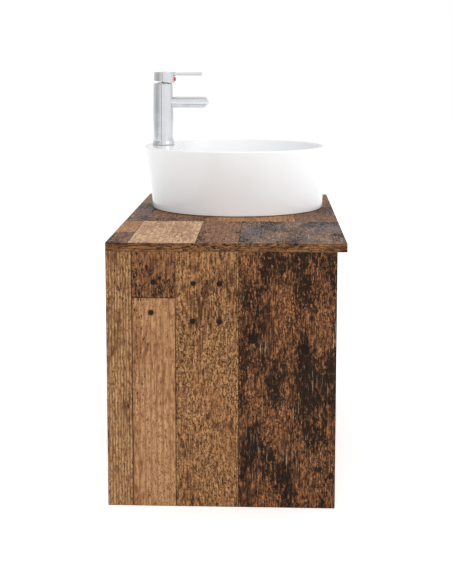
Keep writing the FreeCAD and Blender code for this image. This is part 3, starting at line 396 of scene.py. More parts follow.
@dataclass(frozen=True)
class PlankFinish:
    """Paints one plank of the decor: fibre, growth lines, pits, stains, nail holes and seams."""

    kind: PlankKind
    grain: Axis
    across: Axis
    seed: int
    low: tuple[float, float]
    high: tuple[float, float]
    marks: tuple[Mark, ...] = ()

    FLECK_STRENGTH = 0.78
    DIRT_STRENGTH = 0.93
    RELIEF = 0.0003
    SOOT = srgb(24, 17, 13)
    STEEL_BLUE = srgb(80, 84, 92)
    RAW = srgb(206, 178, 146)

    def material(self) -> bpy.types.Material:
        """Build the material.

        Returns:
            The new material.
        """
        tone = self.kind.value
        graph = Graph(f"plank_{self.kind.name.lower()}_{self.seed}")
        shift = (self.seed * 3.7, self.seed * 1.9, self.seed * 0.6)
        grain = graph.stretched(graph.reordered(self.grain, self.across), (1, 1, 1), shift)
        fibre = graph.noise(graph.stretched(grain, (30, 460, 460)), detail=5, rough=0.65)
        mottle = graph.noise(graph.stretched(grain, (55, 130, 130)), detail=5, rough=0.7)
        clouds = graph.noise(graph.stretched(grain, (6, 15, 15)), detail=4, rough=0.6)
        body = graph.sums("ADD", graph.sums("MULTIPLY", fibre, 0.3),
                          graph.sums("ADD", graph.sums("MULTIPLY", mottle, 0.4),
                                     graph.sums("MULTIPLY", clouds, 0.3)))
        colour = graph.ramp(graph.level(body, 0.42, 0.58),
                            ((0.0, tone.dark), (0.45, tone.middle), (1.0, tone.light)))
        lines = graph.bands(graph.stretched(grain, (0.16, 1, 1)), tone.line_gap, tone.line_twist)
        groove = graph.sums("MULTIPLY", graph.level(lines, 0.08, 0.5, 1.0, 0.0),
                            graph.level(mottle, 0.36, 0.6, 0.25, 1.0))
        colour = graph.mix(graph.sums("MULTIPLY", groove, tone.lines * 0.8), colour, tone.dark)
        flecks = self.marked(graph, grain, (130, 290), clouds, tone.flecks, 0.05)
        colour = graph.mix(graph.sums("MULTIPLY", flecks, self.FLECK_STRENGTH), colour, tone.dark)
        if tone.blue:
            cool = graph.noise(graph.stretched(grain, (7, 16, 16), (5, 2, 0)), detail=7, rough=0.7)
            colour = graph.mix(graph.level(cool, 0.5, 0.6, 0.0, tone.blue), colour, self.STEEL_BLUE)
        dirt = self.dirt(graph, grain, clouds, tone)
        colour = graph.mix(graph.sums("MULTIPLY", dirt, self.DIRT_STRENGTH), colour, self.SOOT)
        scratch = graph.noise(graph.stretched(grain, (14, 260, 260), (9, 4, 1)), detail=4, rough=0.7)
        patches = graph.noise(graph.stretched(grain, (6, 18, 18), (2, 8, 3)), detail=3)
        bare = graph.sums("MULTIPLY", graph.level(scratch, 0.58, 0.68), graph.level(patches, 0.5, 0.6))
        colour = graph.mix(graph.sums("MULTIPLY", bare, tone.scratches), colour, self.RAW)
        breaks = graph.sums("MAXIMUM", self.holes(graph), self.seams(graph))
        colour = graph.mix(breaks, colour, self.SOOT)
        relief = graph.sums("SUBTRACT", graph.sums("MULTIPLY", fibre, 0.35),
                            graph.sums("ADD", graph.sums("MULTIPLY", dirt, 0.4),
                                       graph.sums("MULTIPLY", groove, tone.lines * 0.4)))
        graph.bump(graph.sums("SUBTRACT", relief, breaks), self.RELIEF, 0.5)
        gloss = graph.level(graph.sums("ADD", body, dirt), 0.3, 1.5, 0.5, 0.68)
        return graph.set(Base_Color=colour, Roughness=gloss, Specular_IOR_Level=0.1)

    @staticmethod
    def marked(graph: Graph, grain: object, scales: tuple[float, float], crowding: object,
               share: float, uneven: float) -> bpy.types.NodeSocket:
        """Ragged marks that cover a share of the plank, closer together where the crowding is high.

        Args:
            graph: the graph to build in.
            grain: the grain's coordinate.
            scales: marks to a metre along and across the grain.
            crowding: a noise that gathers the marks.
            share: the share of the plank that they cover.
            uneven: how strongly they gather.

        Returns:
            The socket that carries the result.
        """
        along, across = scales
        offset = (across * 0.013, along * 0.021, 1.0)
        grit = graph.noise(graph.stretched(grain, (along, across, across), offset), detail=5, rough=0.72)
        crowd = graph.level(crowding, 0.35, 0.65, -uneven, uneven)
        start = 0.5 + NOISE_SPREAD * NormalDist().inv_cdf(1 - share)
        return graph.level(graph.sums("ADD", grit, crowd), start - 0.004, start + 0.014)

    def dirt(self, graph: Graph, grain: object, clouds: object, tone: PlankTone) -> bpy.types.NodeSocket:
        """Black marks: pits, stains that soak along the grain, broken streaks and curling cracks.

        Args:
            graph: the graph to build in.
            grain: the grain's coordinate.
            clouds: a broad noise that gathers the pits.
            tone: the plank's tone.

        Returns:
            The socket that carries the result.
        """
        pits = self.marked(graph, grain, (210, 330), clouds, tone.pits, tone.clumping)
        soaked = graph.noise(graph.stretched(grain, (7, 17, 17), (3, 1, 4)), detail=5)
        stain = self.marked(graph, grain, (90, 190), soaked, tone.stain, 0.1)
        streaks = self.marked(graph, grain, (60, 300), soaked, tone.streaks, 0.06)
        dirt = graph.sums("MAXIMUM", pits, graph.sums("MAXIMUM", stain, streaks))
        if tone.curls:
            curl = graph.noise(graph.stretched(grain, (22, 34, 34), (1, 5, 2)), detail=2, twist=1.2)
            ring = graph.sums("ABSOLUTE", graph.sums("SUBTRACT", curl, 0.57))
            dirt = graph.sums("MAXIMUM", dirt, graph.level(ring, 0.004, 0.016, tone.curls, 0.0))
        return dirt

    def holes(self, graph: Graph) -> bpy.types.NodeSocket:
        """Dark round nail holes with ragged rims.

        Args:
            graph: the graph to build in.

        Returns:
            The socket that carries the result.
        """
        spot = graph.stretched(graph.reordered(self.grain, self.across), (1, 1, 0))
        ragged = graph.noise(graph.place, 260, detail=3)
        found: object = 0.0
        for mark in self.marks:
            gap = graph.node("ShaderNodeVectorMath", operation="DISTANCE")
            graph.feed(gap.inputs[0], spot)
            gap.inputs[1].default_value = (mark.along, mark.across, 0)
            reach = graph.sums("ADD", gap.outputs["Value"],
                               graph.sums("MULTIPLY", graph.sums("SUBTRACT", ragged, 0.5),
                                          mark.radius * 0.5))
            core = graph.level(reach, mark.radius * 0.9, mark.radius * 1.1, 0.96, 0.0)
            halo = graph.level(reach, mark.radius, mark.radius * 1.7, 0.25, 0.0)
            found = graph.sums("MAXIMUM", found, graph.sums("MAXIMUM", core, halo))
        return found if self.marks else graph.sums("ADD", 0.0, 0.0)

    def seams(self, graph: Graph) -> bpy.types.NodeSocket:
        """A thin dark joint along each edge of the plank.

        Args:
            graph: the graph to build in.

        Returns:
            The socket that carries the result.
        """
        parts = graph.node("ShaderNodeSeparateXYZ")
        graph.feed(parts.inputs[0], graph.reordered(self.grain, self.across))
        wobble = graph.sums("MULTIPLY", graph.noise(graph.place, 60, detail=3), 0.0008)
        nearest: object = 1.0
        for number in (0, 1):
            inside_low = graph.sums("SUBTRACT", parts.outputs[number], self.low[number])
            inside_high = graph.sums("SUBTRACT", self.high[number], parts.outputs[number])
            nearest = graph.sums("MINIMUM", nearest, graph.sums("MINIMUM", inside_low, inside_high))
        return graph.level(graph.sums("ADD", nearest, wobble), 0.0008, 0.0017, 0.85, 0.0)


@dataclass(frozen=True)
class Plank:
    """One plank of a row: its kind, where it ends along the row from 0 to 1, and its marks."""

    kind: PlankKind
    end: float = 1.0
    marks: tuple[tuple[float, float, float], ...] = ()


@dataclass(frozen=True)
class Row:
    """A row of planks: where it ends across the board from 0 to 1, and its planks."""

    end: float
    planks: tuple[Plank, ...]


@dataclass(frozen=True)
class Block:
    """Rows that share one stretch along the board: where it ends from 0 to 1, and its rows."""

    end: float
    rows: tuple[Row, ...]


# ---- plain finishes ------------------------------------------------------------------------


@dataclass(frozen=True)
class Melamine:
    """Satin foil on the inside faces of boards: a fine embossed pore over a faint mottle."""

    colour: Colour = srgb(196, 186, 172)

    def material(self) -> bpy.types.Material:
        """Build the material.

        Returns:
            The new material.
        """
        graph = Graph("satin_foil")
        pore = graph.noise(graph.stretched(graph.place, (900, 900, 500)), detail=3)
        mottle = graph.noise(graph.place, 14, detail=4)
        tint = graph.ramp(mottle, ((0.3, tuple(0.9 * part for part in self.colour)), (0.7, self.colour)))
        graph.bump(pore, 0.0001, 0.5)
        return graph.set(Base_Color=tint, Roughness=graph.level(pore, 0.3, 0.7, 0.42, 0.58))


@dataclass(frozen=True)
class Glaze:
    """White vitreous glaze: clear, hard and glossy, with a trace of orange peel."""

    colour: Colour = srgb(241, 242, 243)

    def material(self) -> bpy.types.Material:
        """Build the material.

        Returns:
            The new material.
        """
        graph = Graph("white_glaze")
        peel = graph.noise(graph.place, 85, detail=2)
        pooled = graph.noise(graph.place, 6, detail=3)
        cooler = tuple(0.975 * part for part in self.colour)
        tint = graph.ramp(pooled, ((0.35, cooler), (0.65, self.colour)))
        graph.bump(peel, 0.00012, 0.35)
        return graph.set(Base_Color=tint, Roughness=graph.level(pooled, 0.3, 0.7, 0.12, 0.2),
                         Specular_IOR_Level=0.3, Coat_Weight=0.3, Coat_Roughness=0.03)


@dataclass(frozen=True)
class Chrome:
    """Polished chrome plate with faint wiping marks and water haze in its gloss."""

    colour: Colour = srgb(226, 228, 231)

    def material(self) -> bpy.types.Material:
        """Build the material.

        Returns:
            The new material.
        """
        graph = Graph("polished_chrome")
        wipe = graph.noise(graph.stretched(graph.place, (120, 120, 900)), detail=3)
        haze = graph.noise(graph.place, 38, detail=5)
        cloudy = graph.sums("ADD", graph.sums("MULTIPLY", wipe, 0.3), graph.sums("MULTIPLY", haze, 0.7))
        tint = graph.ramp(haze, ((0.35, tuple(0.94 * part for part in self.colour)), (0.65, self.colour)))
        graph.bump(graph.noise(graph.place, 55, detail=2), 0.00006, 0.4)
        return graph.set(Base_Color=tint, Metallic=1.0,
                         Roughness=graph.level(cloudy, 0.35, 0.7, 0.05, 0.14))


@dataclass(frozen=True)
class Metal:
    """Bare or plated metal with a drawn grain and scuffs."""

    name: str
    colour: Colour
    rough: float = 0.32
    spangle: float = 0.0

    def material(self) -> bpy.types.Material:
        """Build the material.

        Returns:
            The new material.
        """
        graph = Graph(self.name)
        drawn = graph.noise(graph.stretched(graph.place, (1500, 90, 1500)), detail=4)
        scuff = graph.noise(graph.place, 120, detail=5, rough=0.7)
        darker = tuple(0.72 * part for part in self.colour)
        tint = graph.ramp(graph.sums("ADD", graph.sums("MULTIPLY", drawn, 0.5),
                                     graph.sums("MULTIPLY", scuff, 0.5)),
                          ((0.36, darker), (0.62, self.colour)))
        if self.spangle:
            cells = graph.node("ShaderNodeTexVoronoi")
            graph.feed(cells.inputs["Vector"], graph.place)
            cells.inputs["Scale"].default_value = 190
            tint = graph.mix(self.spangle, tint, cells.outputs["Color"], "SOFT_LIGHT")
        graph.bump(drawn, 0.00008, 0.6)
        return graph.set(Base_Color=tint, Metallic=1.0,
                         Roughness=graph.level(scuff, 0.3, 0.7, self.rough - 0.08, self.rough + 0.14))


@dataclass(frozen=True)
class Plastic:
    """Moulded plastic or rubber with a fine moulded grain."""

    name: str
    colour: Colour
    rough: float = 0.42
    grain: float = 700.0
    depth: float = 0.00008
    coat: float = 0.0

    def material(self) -> bpy.types.Material:
        """Build the material.

        Returns:
            The new material.
        """
        graph = Graph(self.name)
        texture = graph.noise(graph.place, self.grain, detail=3)
        cloud = graph.noise(graph.place, 22, detail=4)
        tint = graph.ramp(cloud, ((0.3, tuple(0.88 * part for part in self.colour)), (0.7, self.colour)))
        graph.bump(texture, self.depth, 0.5)
        return graph.set(Base_Color=tint, Coat_Weight=self.coat, Specular_IOR_Level=0.45,
                         Roughness=graph.level(cloud, 0.3, 0.7, self.rough - 0.05, self.rough + 0.08))


@dataclass(frozen=True)
class RawWood:
    """Turned beech, for dowels: short flecks along a pale pink-brown grain."""

    def material(self) -> bpy.types.Material:
        """Build the material.

        Returns:
            The new material.
        """
        graph = Graph("turned_beech")
        grain = graph.noise(graph.stretched(graph.place, (60, 700, 700)), detail=4)
        tint = graph.ramp(grain, ((0.3, srgb(168, 122, 80)), (0.55, srgb(205, 163, 116)),
                                  (0.75, srgb(222, 186, 142))))
        graph.bump(grain, 0.0001, 0.6)
        return graph.set(Base_Color=tint, Roughness=0.62)


class Finishes:
    """Every plain finish, built once and shared."""

    def __init__(self) -> None:
        """Build the shared materials."""
        self.foil = Melamine().material()
        self.glaze = Glaze().material()
        self.chrome = Chrome().material()
        self.zinc = Metal("zinc_plated_steel", srgb(188, 192, 198), 0.34, 0.35).material()
        self.brass = Metal("nickel_plated_brass", srgb(214, 203, 180), 0.24).material()
        self.nylon = Plastic("white_nylon", srgb(228, 226, 218), 0.38).material()
        self.pipe = Plastic("white_pipe_plastic", srgb(236, 236, 234), 0.3, 420.0, 0.00004, 0.25).material()
        self.grey = Plastic("grey_plastic", srgb(112, 115, 120), 0.45).material()
        self.rubber = Plastic("black_rubber", srgb(26, 26, 27), 0.62, 520.0, 0.00012).material()
        self.silicone = Plastic("dark_silicone", srgb(44, 42, 40), 0.5, 300.0).material()
        self.marker = Plastic("red_marker", srgb(206, 22, 18), 0.2, 300.0, 0.00002, 0.8).material()
        self.beech = RawWood().material()


# ---- mesh building -------------------------------------------------------------------------


def finish_piece(name: str, mesh: bmesh.types.BMesh, materials: Sequence[bpy.types.Material],
                 body: str, stands_for: Sequence[str] = (),
                 smooth: float = 35.0) -> bpy.types.Object:
    """Turn a bmesh into a finished piece that rides on a body.

    Args:
        name: the piece's name.
        mesh: the bmesh, which is freed.
        materials: its materials, in index order.
        body: the CAD body that it rides on.
        stands_for: CAD nodes that it replaces.
        smooth: edges flatter than this many degrees are shaded smooth.

    Returns:
        The new object.
    """
    for edge in mesh.edges:
        edge.smooth = len(edge.link_faces) == 2 and edge.calc_face_angle(math.pi) < math.radians(smooth)
    for face in mesh.faces:
        face.smooth = True
    data = bpy.data.meshes.new(name)
    mesh.to_mesh(data)
    mesh.free()
    piece = bpy.data.objects.new(name, data)
    bpy.context.scene.collection.objects.link(piece)
    for material in materials:
        data.materials.append(material)
    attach(piece, body)
    if stands_for:
        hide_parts(*stands_for)
    LOG.info("%s: %d faces on %s", name, len(data.polygons), body)
    return piece


def weigh_normals(piece: bpy.types.Object) -> None:
    """Keep large flat faces flat beside small rounded edges."""
    modifier = piece.modifiers.new("face_weighted_normals", "WEIGHTED_NORMAL")
    modifier.keep_sharp = True


def merged_copy(node: str) -> bmesh.types.BMesh:
    """A CAD node's mesh with its doubles merged and its flat faces whole.

    Args:
        node: the CAD node.

    Returns:
        The new bmesh.
    """
    mesh = bmesh.new()
    mesh.from_mesh(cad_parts[node].data)
    bmesh.ops.remove_doubles(mesh, verts=mesh.verts, dist=0.005 * MM)
    bmesh.ops.dissolve_limit(mesh, angle_limit=math.radians(0.5), verts=mesh.verts, edges=mesh.edges)
    return mesh


def soften_edges(piece: bpy.types.Object, width: float, segments: int = 2) -> None:
    """Round a piece's sharp edges by a small radius.

    Args:
        piece: the piece.
        width: the radius in metres.
        segments: facets on each edge.
    """
    modifier = piece.modifiers.new("softened_edges", "BEVEL")
    modifier.width = width
    modifier.segments = segments
    modifier.limit_method = "ANGLE"
    modifier.angle_limit = math.radians(40)
    modifier.use_clamp_overlap = True


def rounded(corners: Sequence[tuple[float, float, float]], steps: int = 5) -> list[tuple[float, float]]:
    """A profile whose corners are arcs.

    Args:
        corners: (radius from the axis, height, corner radius), in millimetres.
        steps: points on each arc.

    Returns:
        The profile's points in metres.
    """
    points: list[tuple[float, float]] = []
    for number, (across, height, radius) in enumerate(corners):
        here = Vector((across, height))
        if radius <= 0 or number in (0, len(corners) - 1):
            points.append((here.x * MM, here.y * MM))
            continue
        before = (Vector(corners[number - 1][:2]) - here).normalized()
        after = (Vector(corners[number + 1][:2]) - here).normalized()
        half = before.angle(after) / 2
        start, end = here + before * radius / math.tan(half), here + after * radius / math.tan(half)
        centre = here + (before + after).normalized() * radius / math.sin(half)
        for step in range(steps + 1):
            share = step / steps
            turn = (start - centre).slerp(end - centre, share)
            points.append(((centre + turn).x * MM, (centre + turn).y * MM))
    return points


def lathe(profile: Profile, centre: Vector, turn: Matrix | None = None,
          segments: int = 96) -> bmesh.types.BMesh:
    """Spin a profile about an axis.

    Args:
        profile: (radius, height) points in metres, from one end of the piece to the other.
        centre: where the profile's zero height stands.
        turn: a rotation that carries +Z to the axis.
        segments: steps round the axis.

    Returns:
        A closed bmesh with its faces outward.
    """
    mesh = bmesh.new()
    verts = [mesh.verts.new((across, 0, height)) for across, height in profile]
    edges = [mesh.edges.new(pair) for pair in zip(verts, verts[1:])]
    bmesh.ops.spin(mesh, geom=verts + edges, cent=(0, 0, 0), axis=(0, 0, 1),
                   angle=2 * math.pi, steps=segments, use_merge=True)
    bmesh.ops.remove_doubles(mesh, verts=mesh.verts, dist=0.002 * MM)
    bmesh.ops.holes_fill(mesh, edges=[edge for edge in mesh.edges if edge.is_boundary], sides=0)
    bmesh.ops.recalc_face_normals(mesh, faces=mesh.faces)
    bmesh.ops.transform(mesh, matrix=Matrix.Translation(centre) @ (turn or Matrix()), verts=mesh.verts)
    return mesh


TO_FRONT = Matrix.Rotation(math.radians(90), 4, "X")


# ---- boards --------------------------------------------------------------------------------


@dataclass
class Board:
    """A board that wears the plank decor on one face and edge band on its showing edges."""

    node: str
    body: str
    face: Side
    grain: Axis
    across: Axis
    blocks: tuple[Block, ...]
    seed: int
    banded: tuple[Side, ...] = ()
    from_high_side: bool = False
    made: list[bpy.types.Material] = field(default_factory=list)

    def build(self, finishes: Finishes) -> bpy.types.Object:
        """Cut the board's face at its seams and give each plank its own finish.

        Args:
            finishes: the shared finishes.

        Returns:
            The finished board.
        """
        low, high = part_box(self.node)
        mesh = merged_copy(self.node)
        self.made = [finishes.foil, self.band(low, high)]
        for face in mesh.faces:
            face.material_index = int(Side.of(face.normal) in self.banded)
        begin = 0.0
        for block in self.blocks:
            start = 0.0
            for row in block.rows:
                self.cut_row(mesh, low, high, (begin, start), row, block.end)
                start = row.end
            begin = block.end
        piece = finish_piece(f"{self.node}_board", mesh, self.made, self.body,
                             (self.node,))
        soften_edges(piece, 0.4 * MM)
        weigh_normals(piece)
        return piece

    def band(self, low: Vector, high: Vector) -> bpy.types.Material:
        """The edge band, whose grain runs along the board's edge.

        Args:
            low, high: the board's box.

        Returns:
            The new material.
        """
        lengths = high - low
        thin = Axis(min(range(3), key=lambda number: lengths[number]))
        grain = self.grain if self.face is not Side.TOP else Axis.Y
        margin = 0.01
        return PlankFinish(PlankKind.BAND, grain, thin, self.seed + 50,
                           (low[grain.value] - margin, low[thin.value] - margin),
                           (high[grain.value] + margin, high[thin.value] + margin)).material()

    def across_at(self, low: Vector, high: Vector, share: float) -> float:
        """A place across the board, from its first edge.

        Args:
            low, high: the board's box.
            share: how far across, from 0 to 1.

        Returns:
            The place on the across axis, in metres.
        """
        axis = self.across.value
        first, last = (high, low) if self.from_high_side else (low, high)
        return first[axis] + (last[axis] - first[axis]) * share

    def cut_row(self, mesh: bmesh.types.BMesh, low: Vector, high: Vector, place: tuple[float, float],
                row: Row, block_end: float) -> None:
        """Cut one row out of the face and give its planks their materials.

        Args:
            mesh: the board.
            low, high: its box.
            place: where the block starts along the board, and the row across it.
            row: the row.
            block_end: where the block ends along the board.
        """
        begin, start = place
        grain, across = self.grain.value, self.across.value
        edges = sorted(self.across_at(low, high, share) for share in (start, row.end))
        length = high[grain] - low[grain]
        stretch = [low[grain] + length * share for share in (begin, block_end)]
        for edge in edges:
            self.slice(mesh, self.across, edge, self.grain, stretch)
        first = stretch[0]
        for number, plank in enumerate(row.planks):
            ends = (first, stretch[0] + (stretch[1] - stretch[0]) * plank.end)
            for end in ends:
                self.slice(mesh, self.grain, end, self.across, edges)
            marks = tuple(Mark(low[grain] + along * MM, edges[0] + inward * MM, radius * MM)
                          for along, inward, radius in plank.marks)
            finish = PlankFinish(plank.kind, self.grain, self.across,
                                 self.seed + 7 * number + int(start * 40) + int(begin * 90),
                                 (ends[0], edges[0]), (ends[1], edges[1]), marks)
            self.made.append(finish.material())
            for face in mesh.faces:
                centre = face.calc_center_median()
                if (Side.of(face.normal) is self.face and edges[0] < centre[across] < edges[1]
                        and ends[0] < centre[grain] < ends[1]):
                    face.material_index = len(self.made) - 1
            first = ends[1]

    def slice(self, mesh: bmesh.types.BMesh, axis: Axis, place: float, other: Axis,
              limits: Sequence[float]) -> None:
        """Cut the decor face at a place on one axis, between limits on the other.

        Args:
            mesh: the board.
            axis: the axis that is cut.
            place: where it is cut.
            other: the face's other axis.
            limits: where the cut starts and ends on the other axis.
        """
        point, normal = Vector((0, 0, 0)), Vector((0, 0, 0))
        point[axis.value], normal[axis.value] = place, 1.0
        faces = [face for face in mesh.faces if Side.of(face.normal) is self.face
                 and self.reaches(face, other, limits)]
        edges = {edge for face in faces for edge in face.edges}
        verts = {vert for face in faces for vert in face.verts}
        bmesh.ops.bisect_plane(mesh, geom=[*faces, *edges, *verts], dist=0.01 * MM,
                               plane_co=point, plane_no=normal)

    @staticmethod
    def reaches(face: bmesh.types.BMFace, axis: Axis, limits: Sequence[float]) -> bool:
        """Whether a face overlaps a stretch of an axis.

        Args:
            face: the face.
            axis: the axis.
            limits: the stretch's ends.

        Returns:
            True if they overlap by more than a millimetre.
        """
        places = [vert.co[axis.value] for vert in face.verts]
        return min(places) < limits[1] - MM and max(places) > limits[0] + MM


END_PANEL = (Block(1.0, (
    Row(0.113, (Plank(PlankKind.GROOVED),)),
    Row(0.302, (Plank(PlankKind.PALE, 0.8205, ((385.0, 47.0, 5.5),)),
                Plank(PlankKind.KNOTTY, 1.0, ((444.0, 42.0, 5.5), (452.0, 30.0, 4.0))))),
    Row(0.577, (Plank(PlankKind.SPECKLED, 1.0, (
        (442.0, 86.5, 5.0), (442.0, 37.0, 5.5), (368.5, 88.5, 5.5), (368.0, 37.5, 6.0))),)),
    Row(1.0, (Plank(PlankKind.STAINED, 1.0, ((335.0, 160.0, 9.0), (317.0, 60.0, 9.0))),)))),)
FAR_END_PANEL = (Block(1.0, (
    Row(0.3, (Plank(PlankKind.SPECKLED),)),
    Row(0.52, (Plank(PlankKind.STAINED, 0.4), Plank(PlankKind.PALE))),
    Row(0.74, (Plank(PlankKind.GROOVED),)),
    Row(1.0, (Plank(PlankKind.SLATE, 0.7), Plank(PlankKind.ORANGE))))),)
WORKTOP = (
    Block(0.366, (
        Row(0.09, (Plank(PlankKind.RUSSET, 0.45), Plank(PlankKind.ORANGE))),
        Row(0.373, (Plank(PlankKind.BLOND),)),
        Row(0.552, (Plank(PlankKind.RUSSET),)),
        Row(1.0, (Plank(PlankKind.SLATE),)))),
    Block(1.0, (
        Row(0.09, (Plank(PlankKind.SLATE, 0.6), Plank(PlankKind.GROOVED))),
        Row(0.373, (Plank(PlankKind.RUSSET, 0.55), Plank(PlankKind.SPECKLED))),
        Row(0.8, (Plank(PlankKind.ORANGE, 0.4), Plank(PlankKind.STAINED, 0.8), Plank(PlankKind.PALE))),
        Row(1.0, (Plank(PlankKind.KNOTTY, 0.7), Plank(PlankKind.SPECKLED))))))
DOOR = (Block(1.0, (
    Row(0.17, (Plank(PlankKind.STAINED, 0.62), Plank(PlankKind.PALE))),
    Row(0.36, (Plank(PlankKind.SPECKLED),)),
    Row(0.55, (Plank(PlankKind.KNOTTY, 0.35), Plank(PlankKind.GROOVED))),
    Row(0.79, (Plank(PlankKind.SLATE, 0.78), Plank(PlankKind.ORANGE))),
    Row(1.0, (Plank(PlankKind.PALE, 0.45), Plank(PlankKind.STAINED))))),)
UPPER_DRAWER = (Block(1.0, (
    Row(0.28, (Plank(PlankKind.ORANGE),)),
    Row(0.62, (Plank(PlankKind.STAINED, 0.55), Plank(PlankKind.GROOVED))),
    Row(1.0, (Plank(PlankKind.SPECKLED),)))),)
LOWER_DRAWER = (Block(1.0, (
    Row(0.28, (Plank(PlankKind.ORANGE, 0.4), Plank(PlankKind.SLATE))),
    Row(0.62, (Plank(PlankKind.GROOVED),)),
    Row(1.0, (Plank(PlankKind.SPECKLED, 0.5), Plank(PlankKind.KNOTTY))))),)
ONE_PLANK = (Block(1.0, (Row(1.0, (Plank(PlankKind.STAINED),)),)),)


@dataclass
class Cabinet:
    """The cabinet's boards, door and drawers."""

    finishes: Finishes
    drawers: tuple[str, ...] = ("upper", "lower")

    def build(self) -> None:
        """Build the decor boards and dress the plain ones."""
        for board in self.boards():
            board.build(self.finishes)
        dress_nodes(self.finishes.foil, "hanging_rail", "lower_back_rail", "front_top_rail")
        dress_nodes(self.finishes.beech, "panel_dowels")
        dress_nodes(self.finishes.zinc, "worktop_screws", "door_pivots", "door_strike")
        dress_nodes(self.finishes.nylon, "door_pivot_bushes")
        dress_nodes(self.finishes.grey, "door_catch")
        for drawer in self.drawers:
            dress_nodes(self.finishes.foil, f"{drawer}_drawer_sides", f"{drawer}_drawer_back",
                        f"{drawer}_drawer_bottom")
            dress_nodes(self.finishes.zinc, f"{drawer}_cabinet_runners", f"{drawer}_drawer_runners")
            dress_nodes(self.finishes.nylon, f"{drawer}_front_rollers", f"{drawer}_rear_rollers")

    @staticmethod
    def boards() -> tuple[Board, ...]:
        """The boards that wear the decor.

        Returns:
            The boards, with their layouts.
        """
        rim = (Side.LEFT, Side.RIGHT, Side.FRONT)
        edges = (Side.LEFT, Side.RIGHT, Side.TOP, Side.BOTTOM)
        return (
            Board("left_side_panel", "cabinet", Side.LEFT, Axis.Z, Axis.Y, END_PANEL, 3,
                  (Side.FRONT,), True),
            Board("right_side_panel", "cabinet", Side.RIGHT, Axis.Z, Axis.Y, FAR_END_PANEL, 21,
                  (Side.FRONT,), True),
            Board("worktop", "cabinet", Side.TOP, Axis.X, Axis.Y, WORKTOP, 35, rim, True),
            Board("divider_panel", "cabinet", Side.FRONT, Axis.Z, Axis.X, ONE_PLANK, 41),
            Board("bottom_panel", "cabinet", Side.FRONT, Axis.X, Axis.Z, ONE_PLANK, 43),
            Board("door", "door", Side.FRONT, Axis.Z, Axis.X, DOOR, 57, edges),
            Board("upper_drawer_front", "upper_drawer", Side.FRONT, Axis.Z, Axis.X,
                  UPPER_DRAWER, 71, edges),
            Board("lower_drawer_front", "lower_drawer", Side.FRONT, Axis.Z, Axis.X,
                  LOWER_DRAWER, 83, edges),
        )


def dress_nodes(material: bpy.types.Material, *nodes: str) -> None:
    """Put one material on each CAD node.

    Args:
        material: the finish.
        nodes: names of CAD nodes.
    """
    for node in nodes:
        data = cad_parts[node].data
        data.materials.clear()
        data.materials.append(material)
        LOG.info("%s: dressed as %s", node, material.name)


# ---- basin ---------------------------------------------------------------------------------


